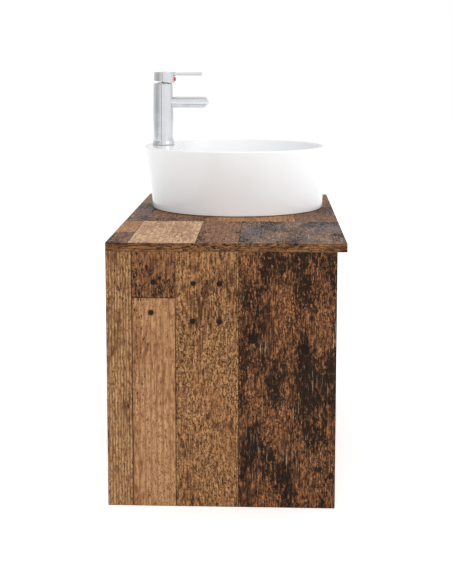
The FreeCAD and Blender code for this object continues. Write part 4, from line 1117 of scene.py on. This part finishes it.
@dataclass
class Basin:
    """The round vessel basin with its tap deck, thin rim, bowl and hollow foot.

    Sizes are millimetres; heights are above the worktop's top.
    """

    finishes: Finishes
    segments: int = 160
    sections: tuple[tuple[float, float, float], ...] = (
        (0, 202.4, -5.7), (95, 208.2, -2.2), (146, 214, 1.2))
    rim_wall: float = 8.0
    rim_round: float = 3.0
    lip_round: float = 3.5
    deck_front: float = 137.5
    corner_power: float = 18.0
    taper: float = math.radians(8)
    floor_round: float = 38.0
    floor_height: float = 42.6
    drain_radius: float = 34.0
    hollow_radius: float = 178.0
    hollow_height: float = 27.0

    def build(self) -> None:
        """Draw the basin's shell out ring by ring into one closed skin."""
        low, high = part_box("basin")
        self.centre_x = (low.x + high.x) / 2
        self.base_z = high.z - self.sections[-1][0] * MM
        drain_low, drain_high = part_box("waste_plug")
        self.drain_y = (drain_low.y + drain_high.y) / 2
        mesh = bmesh.new()
        turns = mesh.verts.layers.float.new("turn")
        ring = bmesh.ops.create_circle(mesh, segments=self.segments, radius=1.0)["verts"]
        for vert in ring:
            vert[turns] = math.atan2(vert.co.y, vert.co.x)
        edges = mesh.edges[:]
        steps = self.steps()
        self.shape_ring(ring, turns, *steps[0])
        for step in [*steps[1:], steps[0]]:
            made = bmesh.ops.extrude_edge_only(mesh, edges=edges)["geom"]
            ring = [item for item in made if isinstance(item, bmesh.types.BMVert)]
            fresh = set(ring)
            edges = [item for item in made if isinstance(item, bmesh.types.BMEdge)
                     and fresh.issuperset(item.verts)]
            self.shape_ring(ring, turns, *step)
        bmesh.ops.remove_doubles(mesh, verts=mesh.verts, dist=0.002 * MM)
        bmesh.ops.recalc_face_normals(mesh, faces=mesh.faces)
        piece = finish_piece("glazed_basin", mesh, [self.finishes.glaze], "cabinet",
                             ("basin",), smooth=50)
        weigh_normals(piece)
        dress_nodes(self.finishes.silicone, "basin_seal")

    def section(self, height: float, column: int) -> float:
        """A value of the outside's sections at a height, on the parabola through the three.

        Args:
            height: millimetres above the worktop.
            column: 1 for the radius, 2 for the centre.

        Returns:
            The value in millimetres.
        """
        total = 0.0
        for number, (here, *_) in enumerate(self.sections):
            weight = 1.0
            for other, (there, *_) in enumerate(self.sections):
                if other != number:
                    weight *= (height - there) / (here - there)
            total += weight * self.sections[number][column]
        return total

    def shape_ring(self, ring: Sequence[bmesh.types.BMVert], turns: bmesh.types.BMLayerItem, height: float,
                   shape: Callable[[float], tuple[float, float]]) -> None:
        """Move one ring of the shell to its height and outline.

        Args:
            ring: the ring's vertices.
            turns: the layer that holds each vertex's angle.
            height: the ring's height.
            shape: its outline.
        """
        for vert in ring:
            across, along = shape(vert[turns])
            vert.co = Vector((self.centre_x + across * MM, along * MM, self.base_z + height * MM))

    def outside(self, height: float, inset: float) -> Callable[[float], tuple[float, float]]:
        """The outside's circle at a height.

        Args:
            height: millimetres above the worktop.
            inset: how far inside the wall.

        Returns:
            A function from an angle to a point of the outline, in millimetres.
        """
        radius, centre = self.section(height, 1) - inset, self.section(height, 2)
        return lambda angle: (radius * math.cos(angle), centre + radius * math.sin(angle))

    def bowl(self, offset: float) -> Callable[[float], tuple[float, float]]:
        """The bowl's outline: a circle cut off at the deck, with rounded corners.

        Args:
            offset: how far inside the rim's edge.

        Returns:
            A function from an angle to a point of the outline, in millimetres.
        """
        top = self.sections[-1]
        radius, centre = top[1] - self.rim_wall - offset, top[2]
        chord = self.deck_front - centre - offset
        power = self.corner_power

        def shape(angle: float) -> tuple[float, float]:
            """The bowl's edge at an angle."""
            rise = max(math.sin(angle), 1e-3)
            reach = (radius ** -power + (chord / rise) ** -power) ** (-1 / power)
            return reach * math.cos(angle), centre + reach * math.sin(angle)
        return shape

    def circle(self, radius: float, centre: float) -> Callable[[float], tuple[float, float]]:
        """A plain circle."""
        return lambda angle: (radius * math.cos(angle), centre + radius * math.sin(angle))

    def steps(self) -> list[tuple[float, Callable[[float], tuple[float, float]]]]:
        """The rings in order: up the outside, over the rim, down the bowl and back under the foot.

        Returns:
            A height and an outline for each ring.
        """
        top = self.sections[-1][0]
        quarter = [math.radians(90) * step / 6 for step in range(7)]
        steps = [(height, self.outside(height, inset))
                 for height, inset in ((1.0, 2.0), (1.5, 0.6), (3.0, 0.0))]
        wall = [3 + (top - self.rim_round - 3) * share / 14 for share in range(1, 15)]
        steps += [(height, self.outside(height, 0.0)) for height in wall]
        for turn in quarter[1:]:
            height = top - self.rim_round * (1 - math.sin(turn))
            steps.append((height, self.outside(height, self.rim_round * (1 - math.cos(turn)))))
        steps.append((top, self.outside(top, self.rim_round + 0.7)))
        for turn in quarter:
            steps.append((top - self.lip_round * (1 - math.cos(turn)),
                          self.bowl(self.lip_round * (math.sin(turn) - 1))))
        steps += self.bowl_steps(top)
        steps += self.foot_steps()
        return steps

    def bowl_steps(self, top: float) -> list[tuple[float, Callable[[float], tuple[float, float]]]]:
        """Rings down the bowl's wall, round its floor and in to the drain.

        Args:
            top: the rim's height.

        Returns:
            A height and an outline for each ring.
        """
        arc_height = self.floor_height + self.floor_round
        wall_foot = arc_height - self.floor_round * math.sin(self.taper)
        foot_offset = (top - wall_foot) * math.tan(self.taper)
        arc_offset = foot_offset + self.floor_round * math.cos(self.taper)
        steps = []
        for share in range(1, 5):
            height = top - self.lip_round + (wall_foot - top + self.lip_round) * share / 5
            steps.append((height, self.bowl((top - height) * math.tan(self.taper))))
        for step in range(12):
            turn = self.taper + (math.radians(90) - self.taper) * step / 11
            steps.append((arc_height - self.floor_round * math.sin(turn),
                          self.bowl(arc_offset - self.floor_round * math.cos(turn))))
        edge, drain = self.bowl(arc_offset), self.circle(self.drain_radius, self.drain_y / MM)
        for step in range(1, 6):
            steps.append((self.floor_height - step / 5, self.blend(edge, drain, step / 5)))
        return steps

    @staticmethod
    def blend(first: Callable[[float], tuple[float, float]], second: Callable[[float], tuple[float, float]],
              share: float) -> Callable[[float], tuple[float, float]]:
        """An outline part way between two.

        Args:
            first, second: the outlines.
            share: how much of the second.

        Returns:
            A function from an angle to a point of the outline, in millimetres.
        """
        def shape(angle: float) -> tuple[float, float]:
            """The point part way between the two outlines at an angle."""
            start, end = first(angle), second(angle)
            return start[0] + (end[0] - start[0]) * share, start[1] + (end[1] - start[1]) * share
        return shape

    def foot_steps(self) -> list[tuple[float, Callable[[float], tuple[float, float]]]]:
        """Rings of the drain's recess and hole, and of the hollow under the floor.

        Returns:
            A height and an outline for each ring.
        """
        drain_y, foot_y = self.drain_y / MM, self.sections[0][2]
        floor = self.floor_height - 1
        return [
            (floor - 0.4, self.circle(33.2, drain_y)), (floor - 3, self.circle(33.0, drain_y)),
            (floor - 3.1, self.circle(23.4, drain_y)), (floor - 4, self.circle(23.0, drain_y)),
            (self.hollow_height + 1, self.circle(23.0, drain_y)),
            (self.hollow_height, self.circle(24.0, drain_y)),
            (self.hollow_height, self.circle(self.hollow_radius - 4, foot_y)),
            (self.hollow_height - 1.2, self.circle(self.hollow_radius - 1.2, foot_y)),
            (self.hollow_height - 4, self.circle(self.hollow_radius, foot_y)),
            (1.8, self.circle(self.hollow_radius, foot_y)),
            (1.0, self.circle(self.hollow_radius + 0.8, foot_y)),
        ]


# ---- tap -----------------------------------------------------------------------------------


@dataclass
class Tap:
    """The single-lever tap: base ring, column with spout, aerator, lever cap, rod and marker.

    Sizes are millimetres, and heights are in the frame.
    """

    finishes: Finishes
    column_radius: float = 24.0
    column_round: float = 2.5
    tenon_radius: float = 19.9
    ring_rim_share: float = 0.35
    ring_flare_share: float = 0.82
    chamber_radius: float = 20.0
    chamber_depth: float = 5.3
    spout_radius: float = 13.35
    nose_back: float = 7.1
    nose_under: float = 13.7
    cap_radius: float = 25.0
    cap_round: float = 2.2
    cap_wall: float = 4.1
    cap_hollow: float = 6.4
    aerator_bore: float = 6.6
    aerator_radius: float = 7.8
    aerator_half: float = 3.9
    grid_reach: float = 6.5
    rod_collar: float = 0.9
    marker_dome: float = 1.6
    slant: float = 5.8

    def build(self) -> None:
        """Build every piece of the tap."""
        low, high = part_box("tap_base_ring")
        self.axis = Vector(((low.x + high.x) / 2, (low.y + high.y) / 2, 0))
        self.ring()
        self.column()
        self.aerator()
        self.cap()
        self.rod()
        self.marker()
        dress_nodes(self.finishes.rubber, "tap_base_gasket")
        dress_nodes(self.finishes.grey, "cartridge", "cartridge_collar")
        dress_nodes(self.finishes.brass, "cartridge_nut", "cartridge_stem", "stud_nut")
        dress_nodes(self.finishes.zinc, "lever_grub_screw", "mounting_stud", "horseshoe_washer")

    def ring(self) -> None:
        """The flared ring between the deck and the column."""
        low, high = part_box("tap_base_ring")
        radius, height = (high.x - low.x) / 2 / MM, (high.z - low.z) / MM
        profile = rounded([
            (self.tenon_radius, 0, 0), (radius, 0, 0.5), (radius, height * self.ring_rim_share, 1.2),
            (self.column_radius + 0.15, height * self.ring_flare_share, 1.6),
            (self.column_radius, height, 0),
            (self.tenon_radius, height, 0), (self.tenon_radius, 0, 0)])
        mesh = lathe(profile, Vector((self.axis.x, self.axis.y, low.z)))
        finish_piece("flared_base_ring", mesh, [self.finishes.chrome], "cabinet",
                     ("tap_base_ring",))

    def column(self) -> None:
        """The column, hollow for the cartridge, and the spout with its slanted nose."""
        low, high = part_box("tap_body")
        ring_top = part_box("tap_base_ring")[1].z
        top = (high.z - low.z) / MM
        chamber = top - self.chamber_depth
        cartridge_low, cartridge_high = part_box("cartridge")
        floor = (cartridge_low.z - low.z) / MM
        bore = (cartridge_high.x - cartridge_low.x) / 2 / MM
        step = (ring_top - low.z) / MM
        profile = rounded([
            (0, 0, 0), (self.tenon_radius, 0, 0), (self.tenon_radius, step, 0),
            (self.column_radius, step, 0.3), (self.column_radius, top, self.column_round),
            (self.chamber_radius, top, 0.4), (self.chamber_radius, chamber, 0), (bore, chamber, 0),
            (bore, floor, 0), (0, floor, 0)])
        mesh = lathe(profile, Vector((self.axis.x, self.axis.y, low.z)), segments=128)
        spout = self.spout(low.y)
        donor = bpy.data.meshes.new("spout_shape")
        spout.to_mesh(donor)
        spout.free()
        mesh.from_mesh(donor)
        bpy.data.meshes.remove(donor)
        piece = finish_piece("column_and_spout", mesh, [self.finishes.chrome], "cabinet",
                             ("tap_body",))
        weigh_normals(piece)

    def spout(self, nose_y: float) -> bmesh.types.BMesh:
        """A level tube whose end is cut back above and below its nose.

        Args:
            nose_y: where the spout's nose is.

        Returns:
            The spout as a closed bmesh.
        """
        centre_z = self.spout_z()
        start = Vector((self.axis.x, self.axis.y - self.spout_radius * MM, centre_z))
        length = (start.y - nose_y) / MM
        profile = [(0, 0), (self.spout_radius * MM, 0), (self.spout_radius * MM, length * MM),
                   (0, length * MM)]
        mesh = lathe(profile, start, TO_FRONT, segments=96)
        nose = Vector((self.axis.x, nose_y, centre_z))
        back = Vector((0, self.nose_back, self.spout_radius)).normalized()
        for along in (back, Vector((0, self.nose_under, -self.spout_radius)).normalized()):
            outward = along.cross(Vector((1, 0, 0)))
            if outward.y > 0:
                outward.negate()
            cut = bmesh.ops.bisect_plane(mesh, geom=[*mesh.verts, *mesh.edges, *mesh.faces],
                                         dist=0.01 * MM, plane_co=nose, plane_no=outward,
                                         clear_outer=True)
            rim = [item for item in cut["geom_cut"] if isinstance(item, bmesh.types.BMEdge)]
            bmesh.ops.holes_fill(mesh, edges=rim, sides=0)
        bmesh.ops.recalc_face_normals(mesh, faces=mesh.faces)
        sharp = [edge for edge in mesh.edges
                 if edge.calc_face_angle(0) > math.radians(30)
                 and all(vert.co.y < nose_y + 20 * MM for vert in edge.verts)]
        bmesh.ops.bevel(mesh, geom=sharp, offset=0.9 * MM, segments=3, affect="EDGES",
                        profile=0.5, material=-1, clamp_overlap=True)
        return mesh

    def spout_z(self) -> float:
        """Height of the spout's axis, from the aerator's place on the slanted face.

        Returns:
            The height in metres.
        """
        low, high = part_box("aerator_housing")
        nose_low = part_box("tap_body")[0].y
        middle_y = (low.y + high.y) / 2
        middle_z = (low.z + high.z) / 2
        into = (middle_y - nose_low - self.nose_under * MM / 2)
        return middle_z - into + self.spout_radius * MM - self.nose_under * MM / 2

    def aerator(self) -> None:
        """The aerator's ring and its grid, square to the slanted face."""
        low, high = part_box("aerator_housing")
        middle = (low + high) / 2
        inward = Vector((0, 1, 1)).normalized()
        turn = Vector((0, 0, 1)).rotation_difference(-inward).to_matrix().to_4x4()
        bore, radius, half = self.aerator_bore, self.aerator_radius, self.aerator_half
        profile = rounded([(bore, -half, 0), (radius, -half, 0), (radius, half, 0.5), (bore, half, 0.4),
                           (bore, -half, 0)])
        mesh = lathe(profile, middle, turn, 64)
        finish_piece("aerator_ring", mesh, [self.finishes.chrome], "cabinet",
                     ("aerator_housing",))
        grid = bmesh.new()
        bmesh.ops.create_grid(grid, x_segments=11, y_segments=11, size=self.grid_reach * MM)
        outside = [vert for vert in grid.verts if vert.co.length > self.grid_reach * MM]
        bmesh.ops.delete(grid, geom=outside, context="VERTS")
        bmesh.ops.inset_individual(grid, faces=grid.faces[:], thickness=0.22 * MM, depth=-0.9 * MM)
        bmesh.ops.solidify(grid, geom=grid.faces[:], thickness=1.0 * MM)
        bmesh.ops.transform(grid, matrix=Matrix.Translation(middle - inward * 1.6 * MM) @ turn,
                            verts=grid.verts)
        bmesh.ops.recalc_face_normals(grid, faces=grid.faces)
        finish_piece("aerator_grid", grid, [self.finishes.grey], "cabinet",
                     ("aerator_insert",))

    def cap(self) -> None:
        """The lever cap, whose skirt is cut on a slant and hollowed underneath."""
        low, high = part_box("lever_cap")
        centre = Vector(((low.x + high.x) / 2, (low.y + high.y) / 2, low.z))
        height = (high.z - low.z) / MM
        profile = rounded([(0, -0.4, 0), (self.cap_radius, -0.4, 0),
                           (self.cap_radius, height, self.cap_round), (0, height, 0)], 6)
        mesh = lathe(profile, centre, segments=128)
        across = Vector((0, 2 * self.cap_radius, self.slant)).normalized()
        edge = Vector((centre.x, centre.y - self.cap_radius * MM, centre.z))
        downward = across.cross(Vector((1, 0, 0)))
        if downward.z > 0:
            downward.negate()
        cut = bmesh.ops.bisect_plane(mesh, geom=[*mesh.verts, *mesh.edges, *mesh.faces], dist=0.01 * MM,
                                     plane_co=edge, plane_no=downward, clear_outer=True)
        rim = [item for item in cut["geom_cut"] if isinstance(item, bmesh.types.BMEdge)]
        bmesh.ops.holes_fill(mesh, edges=rim, sides=0)
        bmesh.ops.recalc_face_normals(mesh, faces=mesh.faces)
        bottom = [face for face in mesh.faces if face.normal.dot(downward) > 0.999]
        bmesh.ops.inset_region(mesh, faces=bottom, thickness=self.cap_wall * MM, depth=0.0)
        lifted = bmesh.ops.extrude_face_region(mesh, geom=bottom)
        bmesh.ops.delete(mesh, geom=bottom, context="FACES_ONLY")
        for item in lifted["geom"]:
            if isinstance(item, bmesh.types.BMVert):
                item.co.z = centre.z + self.cap_hollow * MM
        bmesh.ops.recalc_face_normals(mesh, faces=mesh.faces)
        piece = finish_piece("slanted_lever_cap", mesh, [self.finishes.chrome], "lever",
                             ("lever_cap",))
        soften_edges(piece, 0.35 * MM)
        weigh_normals(piece)

    def rod(self) -> None:
        """The round lever rod with a softly rounded tip and a small collar at the cap."""
        low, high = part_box("lever_rod")
        radius = (high.x - low.x) / 2 / MM
        length = (high.y - low.y) / MM
        seat = (high.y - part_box("lever_cap")[0].y) / MM
        collar = radius + self.rod_collar
        profile = rounded([(0, 0, 0), (radius, 0, 0), (radius, seat - 0.2, 0), (collar, seat - 0.2, 0),
                           (collar, seat + 1.4, 0.5), (radius, seat + 1.6, 0.2),
                           (radius, length, 1.2), (0, length, 0)])
        centre = Vector(((low.x + high.x) / 2, high.y, (low.z + high.z) / 2))
        mesh = lathe(profile, centre, TO_FRONT, 64)
        finish_piece("round_lever_rod", mesh, [self.finishes.chrome], "lever",
                     ("lever_rod",))

    def marker(self) -> None:
        """The domed red marker on the cap's front."""
        low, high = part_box("temperature_marker")
        radius = (high.x - low.x) / 2 / MM
        length = (high.y - low.y) / MM
        rise = self.marker_dome
        dome = [(radius * math.cos(turn) * MM, (length - rise + rise * math.sin(turn)) * MM)
                for turn in (math.radians(15 * step) for step in range(7))]
        profile = [(0, 0), (radius * MM, 0), *dome[:-1], (0, length * MM)]
        centre = Vector(((low.x + high.x) / 2, high.y, (low.z + high.z) / 2))
        mesh = lathe(profile, centre, TO_FRONT, 48)
        finish_piece("domed_red_marker", mesh, [self.finishes.marker], "lever",
                     ("temperature_marker",))


# ---- waste ---------------------------------------------------------------------------------


@dataclass
class Waste:
    """The waste's plug and flange in the bowl, and the trap under the worktop."""

    finishes: Finishes
    plug_head: float = 8.0
    plug_edge: float = 3.2
    plug_dome: float = 4.8
    plug_stem: float = 4.0
    plug_chamfer: float = 1.2

    def build(self) -> None:
        """Build the plug and dress the fittings under the basin."""
        self.plug()
        self.smooth_copy("waste_body", self.finishes.chrome, "polished_chrome")
        for node in ("waste_nut", "trap_inlet_nut", "trap_dip_tube", "trap_body", "trap_cup",
                     "trap_outlet_nut", "trap_outlet_pipe", "wall_rosette"):
            self.smooth_copy(node, self.finishes.pipe, "white_plastic")
        dress_nodes(self.finishes.rubber, "waste_gasket")

    def plug(self) -> None:
        """The domed plug with its stem."""
        low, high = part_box("waste_plug")
        centre = Vector(((low.x + high.x) / 2, (low.y + high.y) / 2, low.z))
        radius = (high.x - low.x) / 2 / MM
        height = (high.z - low.z) / MM
        head = height - self.plug_head
        dome = [(radius * math.cos(turn), head + self.plug_edge + self.plug_dome * math.sin(turn))
                for turn in (math.radians(9 * step) for step in range(11))]
        profile = [(0, 0), (self.plug_stem, 0), (self.plug_stem, head), (radius - self.plug_chamfer, head),
                   (radius, head + 1.0), *dome[:-1], (0, height)]
        mesh = lathe([(across * MM, up * MM) for across, up in profile], centre, segments=96)
        finish_piece("domed_plug", mesh, [self.finishes.chrome], "plug", ("waste_plug",))

    @staticmethod
    def smooth_copy(node: str, material: bpy.types.Material, slot: str) -> None:
        """A CAD fitting with its doubles merged and its round sides smooth.

        Args:
            node: the CAD node.
            material: its finish.
            slot: not used.
        """
        mesh = bmesh.new()
        mesh.from_mesh(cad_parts[node].data)
        bmesh.ops.remove_doubles(mesh, verts=mesh.verts, dist=0.005 * MM)
        piece = finish_piece(f"{node}_fitting", mesh, [material], "cabinet", (node,))
        weigh_normals(piece)


# ---- studio --------------------------------------------------------------------------------


@dataclass(frozen=True)
class Studio:
    """A pale floor, a soft surround and the camera."""

    eye: tuple[float, float, float] = (-2.462, -0.0825, 0.8578)
    turn_to_wall: float = 2.28
    tilt_down: float = 6.67
    lens: float = 67.97
    rise: float = -0.17
    surround: float = 1.0

    def build(self) -> None:
        """Set up the floor, the surround, the lights and the camera."""
        self.floor()
        self.world()
        self.lamp("front_softbox", (-1.6, -2.4, 2.2), 1.8, 11.0)
        self.lamp("overhead_softbox", (0.2, 0.1, 2.9), 2.4, 15.0, False)
        self.lamp("side_fill", (-3.1, 0.1, 1.5), 1.8, 21.0, False)
        self.camera()

    @staticmethod
    def floor() -> None:
        """The pale floor under the cabinet."""
        mesh = bmesh.new()
        bmesh.ops.create_grid(mesh, x_segments=1, y_segments=1, size=14.0)
        bmesh.ops.translate(mesh, verts=mesh.verts, vec=(0, 0, -0.0005))
        data = bpy.data.meshes.new("pale_floor")
        mesh.to_mesh(data)
        mesh.free()
        floor = bpy.data.objects.new("pale_floor", data)
        bpy.context.scene.collection.objects.link(floor)
        graph = Graph("pale_floor")
        speck = graph.noise(graph.place, 40, detail=3)
        tint = graph.ramp(speck, ((0.3, (0.93, 0.93, 0.93)), (0.7, (0.96, 0.96, 0.96))))
        data.materials.append(graph.set(Base_Color=tint, Roughness=0.9, Specular_IOR_Level=0.1,
                                        Emission_Color=tint, Emission_Strength=0.35))

    def world(self) -> None:
        """A white surround with soft grey bands, which polished metal shows as upright lines."""
        world = bpy.data.worlds.new("soft_surround")
        world.use_nodes = True
        bpy.context.scene.world = world
        tree = world.node_tree
        back = tree.nodes["Background"]
        place = tree.nodes.new("ShaderNodeTexCoord")
        parts = tree.nodes.new("ShaderNodeSeparateXYZ")
        turn = tree.nodes.new("ShaderNodeMath")
        turn.operation = "ARCTAN2"
        share = tree.nodes.new("ShaderNodeMapRange")
        share.inputs["From Min"].default_value = -math.pi
        share.inputs["From Max"].default_value = math.pi
        ramp = tree.nodes.new("ShaderNodeValToRGB")
        ramp.color_ramp.interpolation = "EASE"
        stops = ((0.0, 0.95), (0.17, 1.0), (0.25, 0.96), (0.36, 0.72), (0.5, 0.9), (0.66, 0.72), (0.8, 0.5),
                 (0.87, 0.62), (0.93, 0.86), (0.955, 0.42), (0.975, 0.95))
        elements = ramp.color_ramp.elements
        for number, (position, grey) in enumerate(stops):
            element = elements[number] if number < 2 else elements.new(position)
            element.position = position
            element.color = (grey, grey, grey, 1.0)
        camera_ray = tree.nodes.new("ShaderNodeLightPath")
        choose = tree.nodes.new("ShaderNodeMix")
        choose.data_type = "RGBA"
        tree.links.new(place.outputs["Generated"], parts.inputs[0])
        tree.links.new(parts.outputs["Y"], turn.inputs[0])
        tree.links.new(parts.outputs["X"], turn.inputs[1])
        tree.links.new(turn.outputs[0], share.inputs["Value"])
        tree.links.new(share.outputs["Result"], ramp.inputs["Fac"])
        tree.links.new(camera_ray.outputs["Is Camera Ray"], choose.inputs["Factor"])
        tree.links.new(ramp.outputs["Color"], choose.inputs[6])
        choose.inputs[7].default_value = (1, 1, 1, 1)
        tree.links.new(choose.outputs[2], back.inputs["Color"])
        back.inputs["Strength"].default_value = self.surround
        bpy.context.scene.view_settings.view_transform = "Standard"

    @staticmethod
    def lamp(name: str, place: tuple[float, float, float], size: float, power: float,
             mirrored: bool = True) -> None:
        """A square soft light aimed at the basin, which polished pieces may mirror.

        Args:
            name: the lamp's name.
            place: where it hangs.
            size: its side in metres.
            power: its power in watts.
            mirrored: whether polished pieces show it.
        """
        data = bpy.data.lights.new(name, "AREA")
        data.size = size
        data.energy = power
        lamp = bpy.data.objects.new(name, data)
        lamp.location = place
        lamp.visible_glossy = mirrored
        aim = Vector((0.1, 0, 0.45)) - Vector(place)
        lamp.rotation_euler = aim.to_track_quat("-Z", "Y").to_euler()
        bpy.context.scene.collection.objects.link(lamp)

    def camera(self) -> None:
        """The camera, level with the tap's top, looking along the cabinet's width."""
        data = bpy.data.cameras.new("main_view")
        data.lens = self.lens
        data.shift_y = self.rise
        camera = bpy.data.objects.new("main_view", data)
        camera.location = self.eye
        turn, tilt = math.radians(self.turn_to_wall), math.radians(self.tilt_down)
        ahead = Vector((math.cos(turn) * math.cos(tilt), math.sin(turn) * math.cos(tilt), -math.sin(tilt)))
        camera.rotation_euler = ahead.to_track_quat("-Z", "Y").to_euler()
        bpy.context.scene.collection.objects.link(camera)
        bpy.context.scene.camera = camera


def main() -> None:
    """Build every sub-assembly in order."""
    logging.basicConfig(level=logging.INFO, format="%(name)s: %(message)s")
    finishes = Finishes()
    Studio().build()
    Cabinet(finishes).build()
    Basin(finishes).build()
    Tap(finishes).build()
    Waste(finishes).build()


if __name__ == "__main__":
    main()
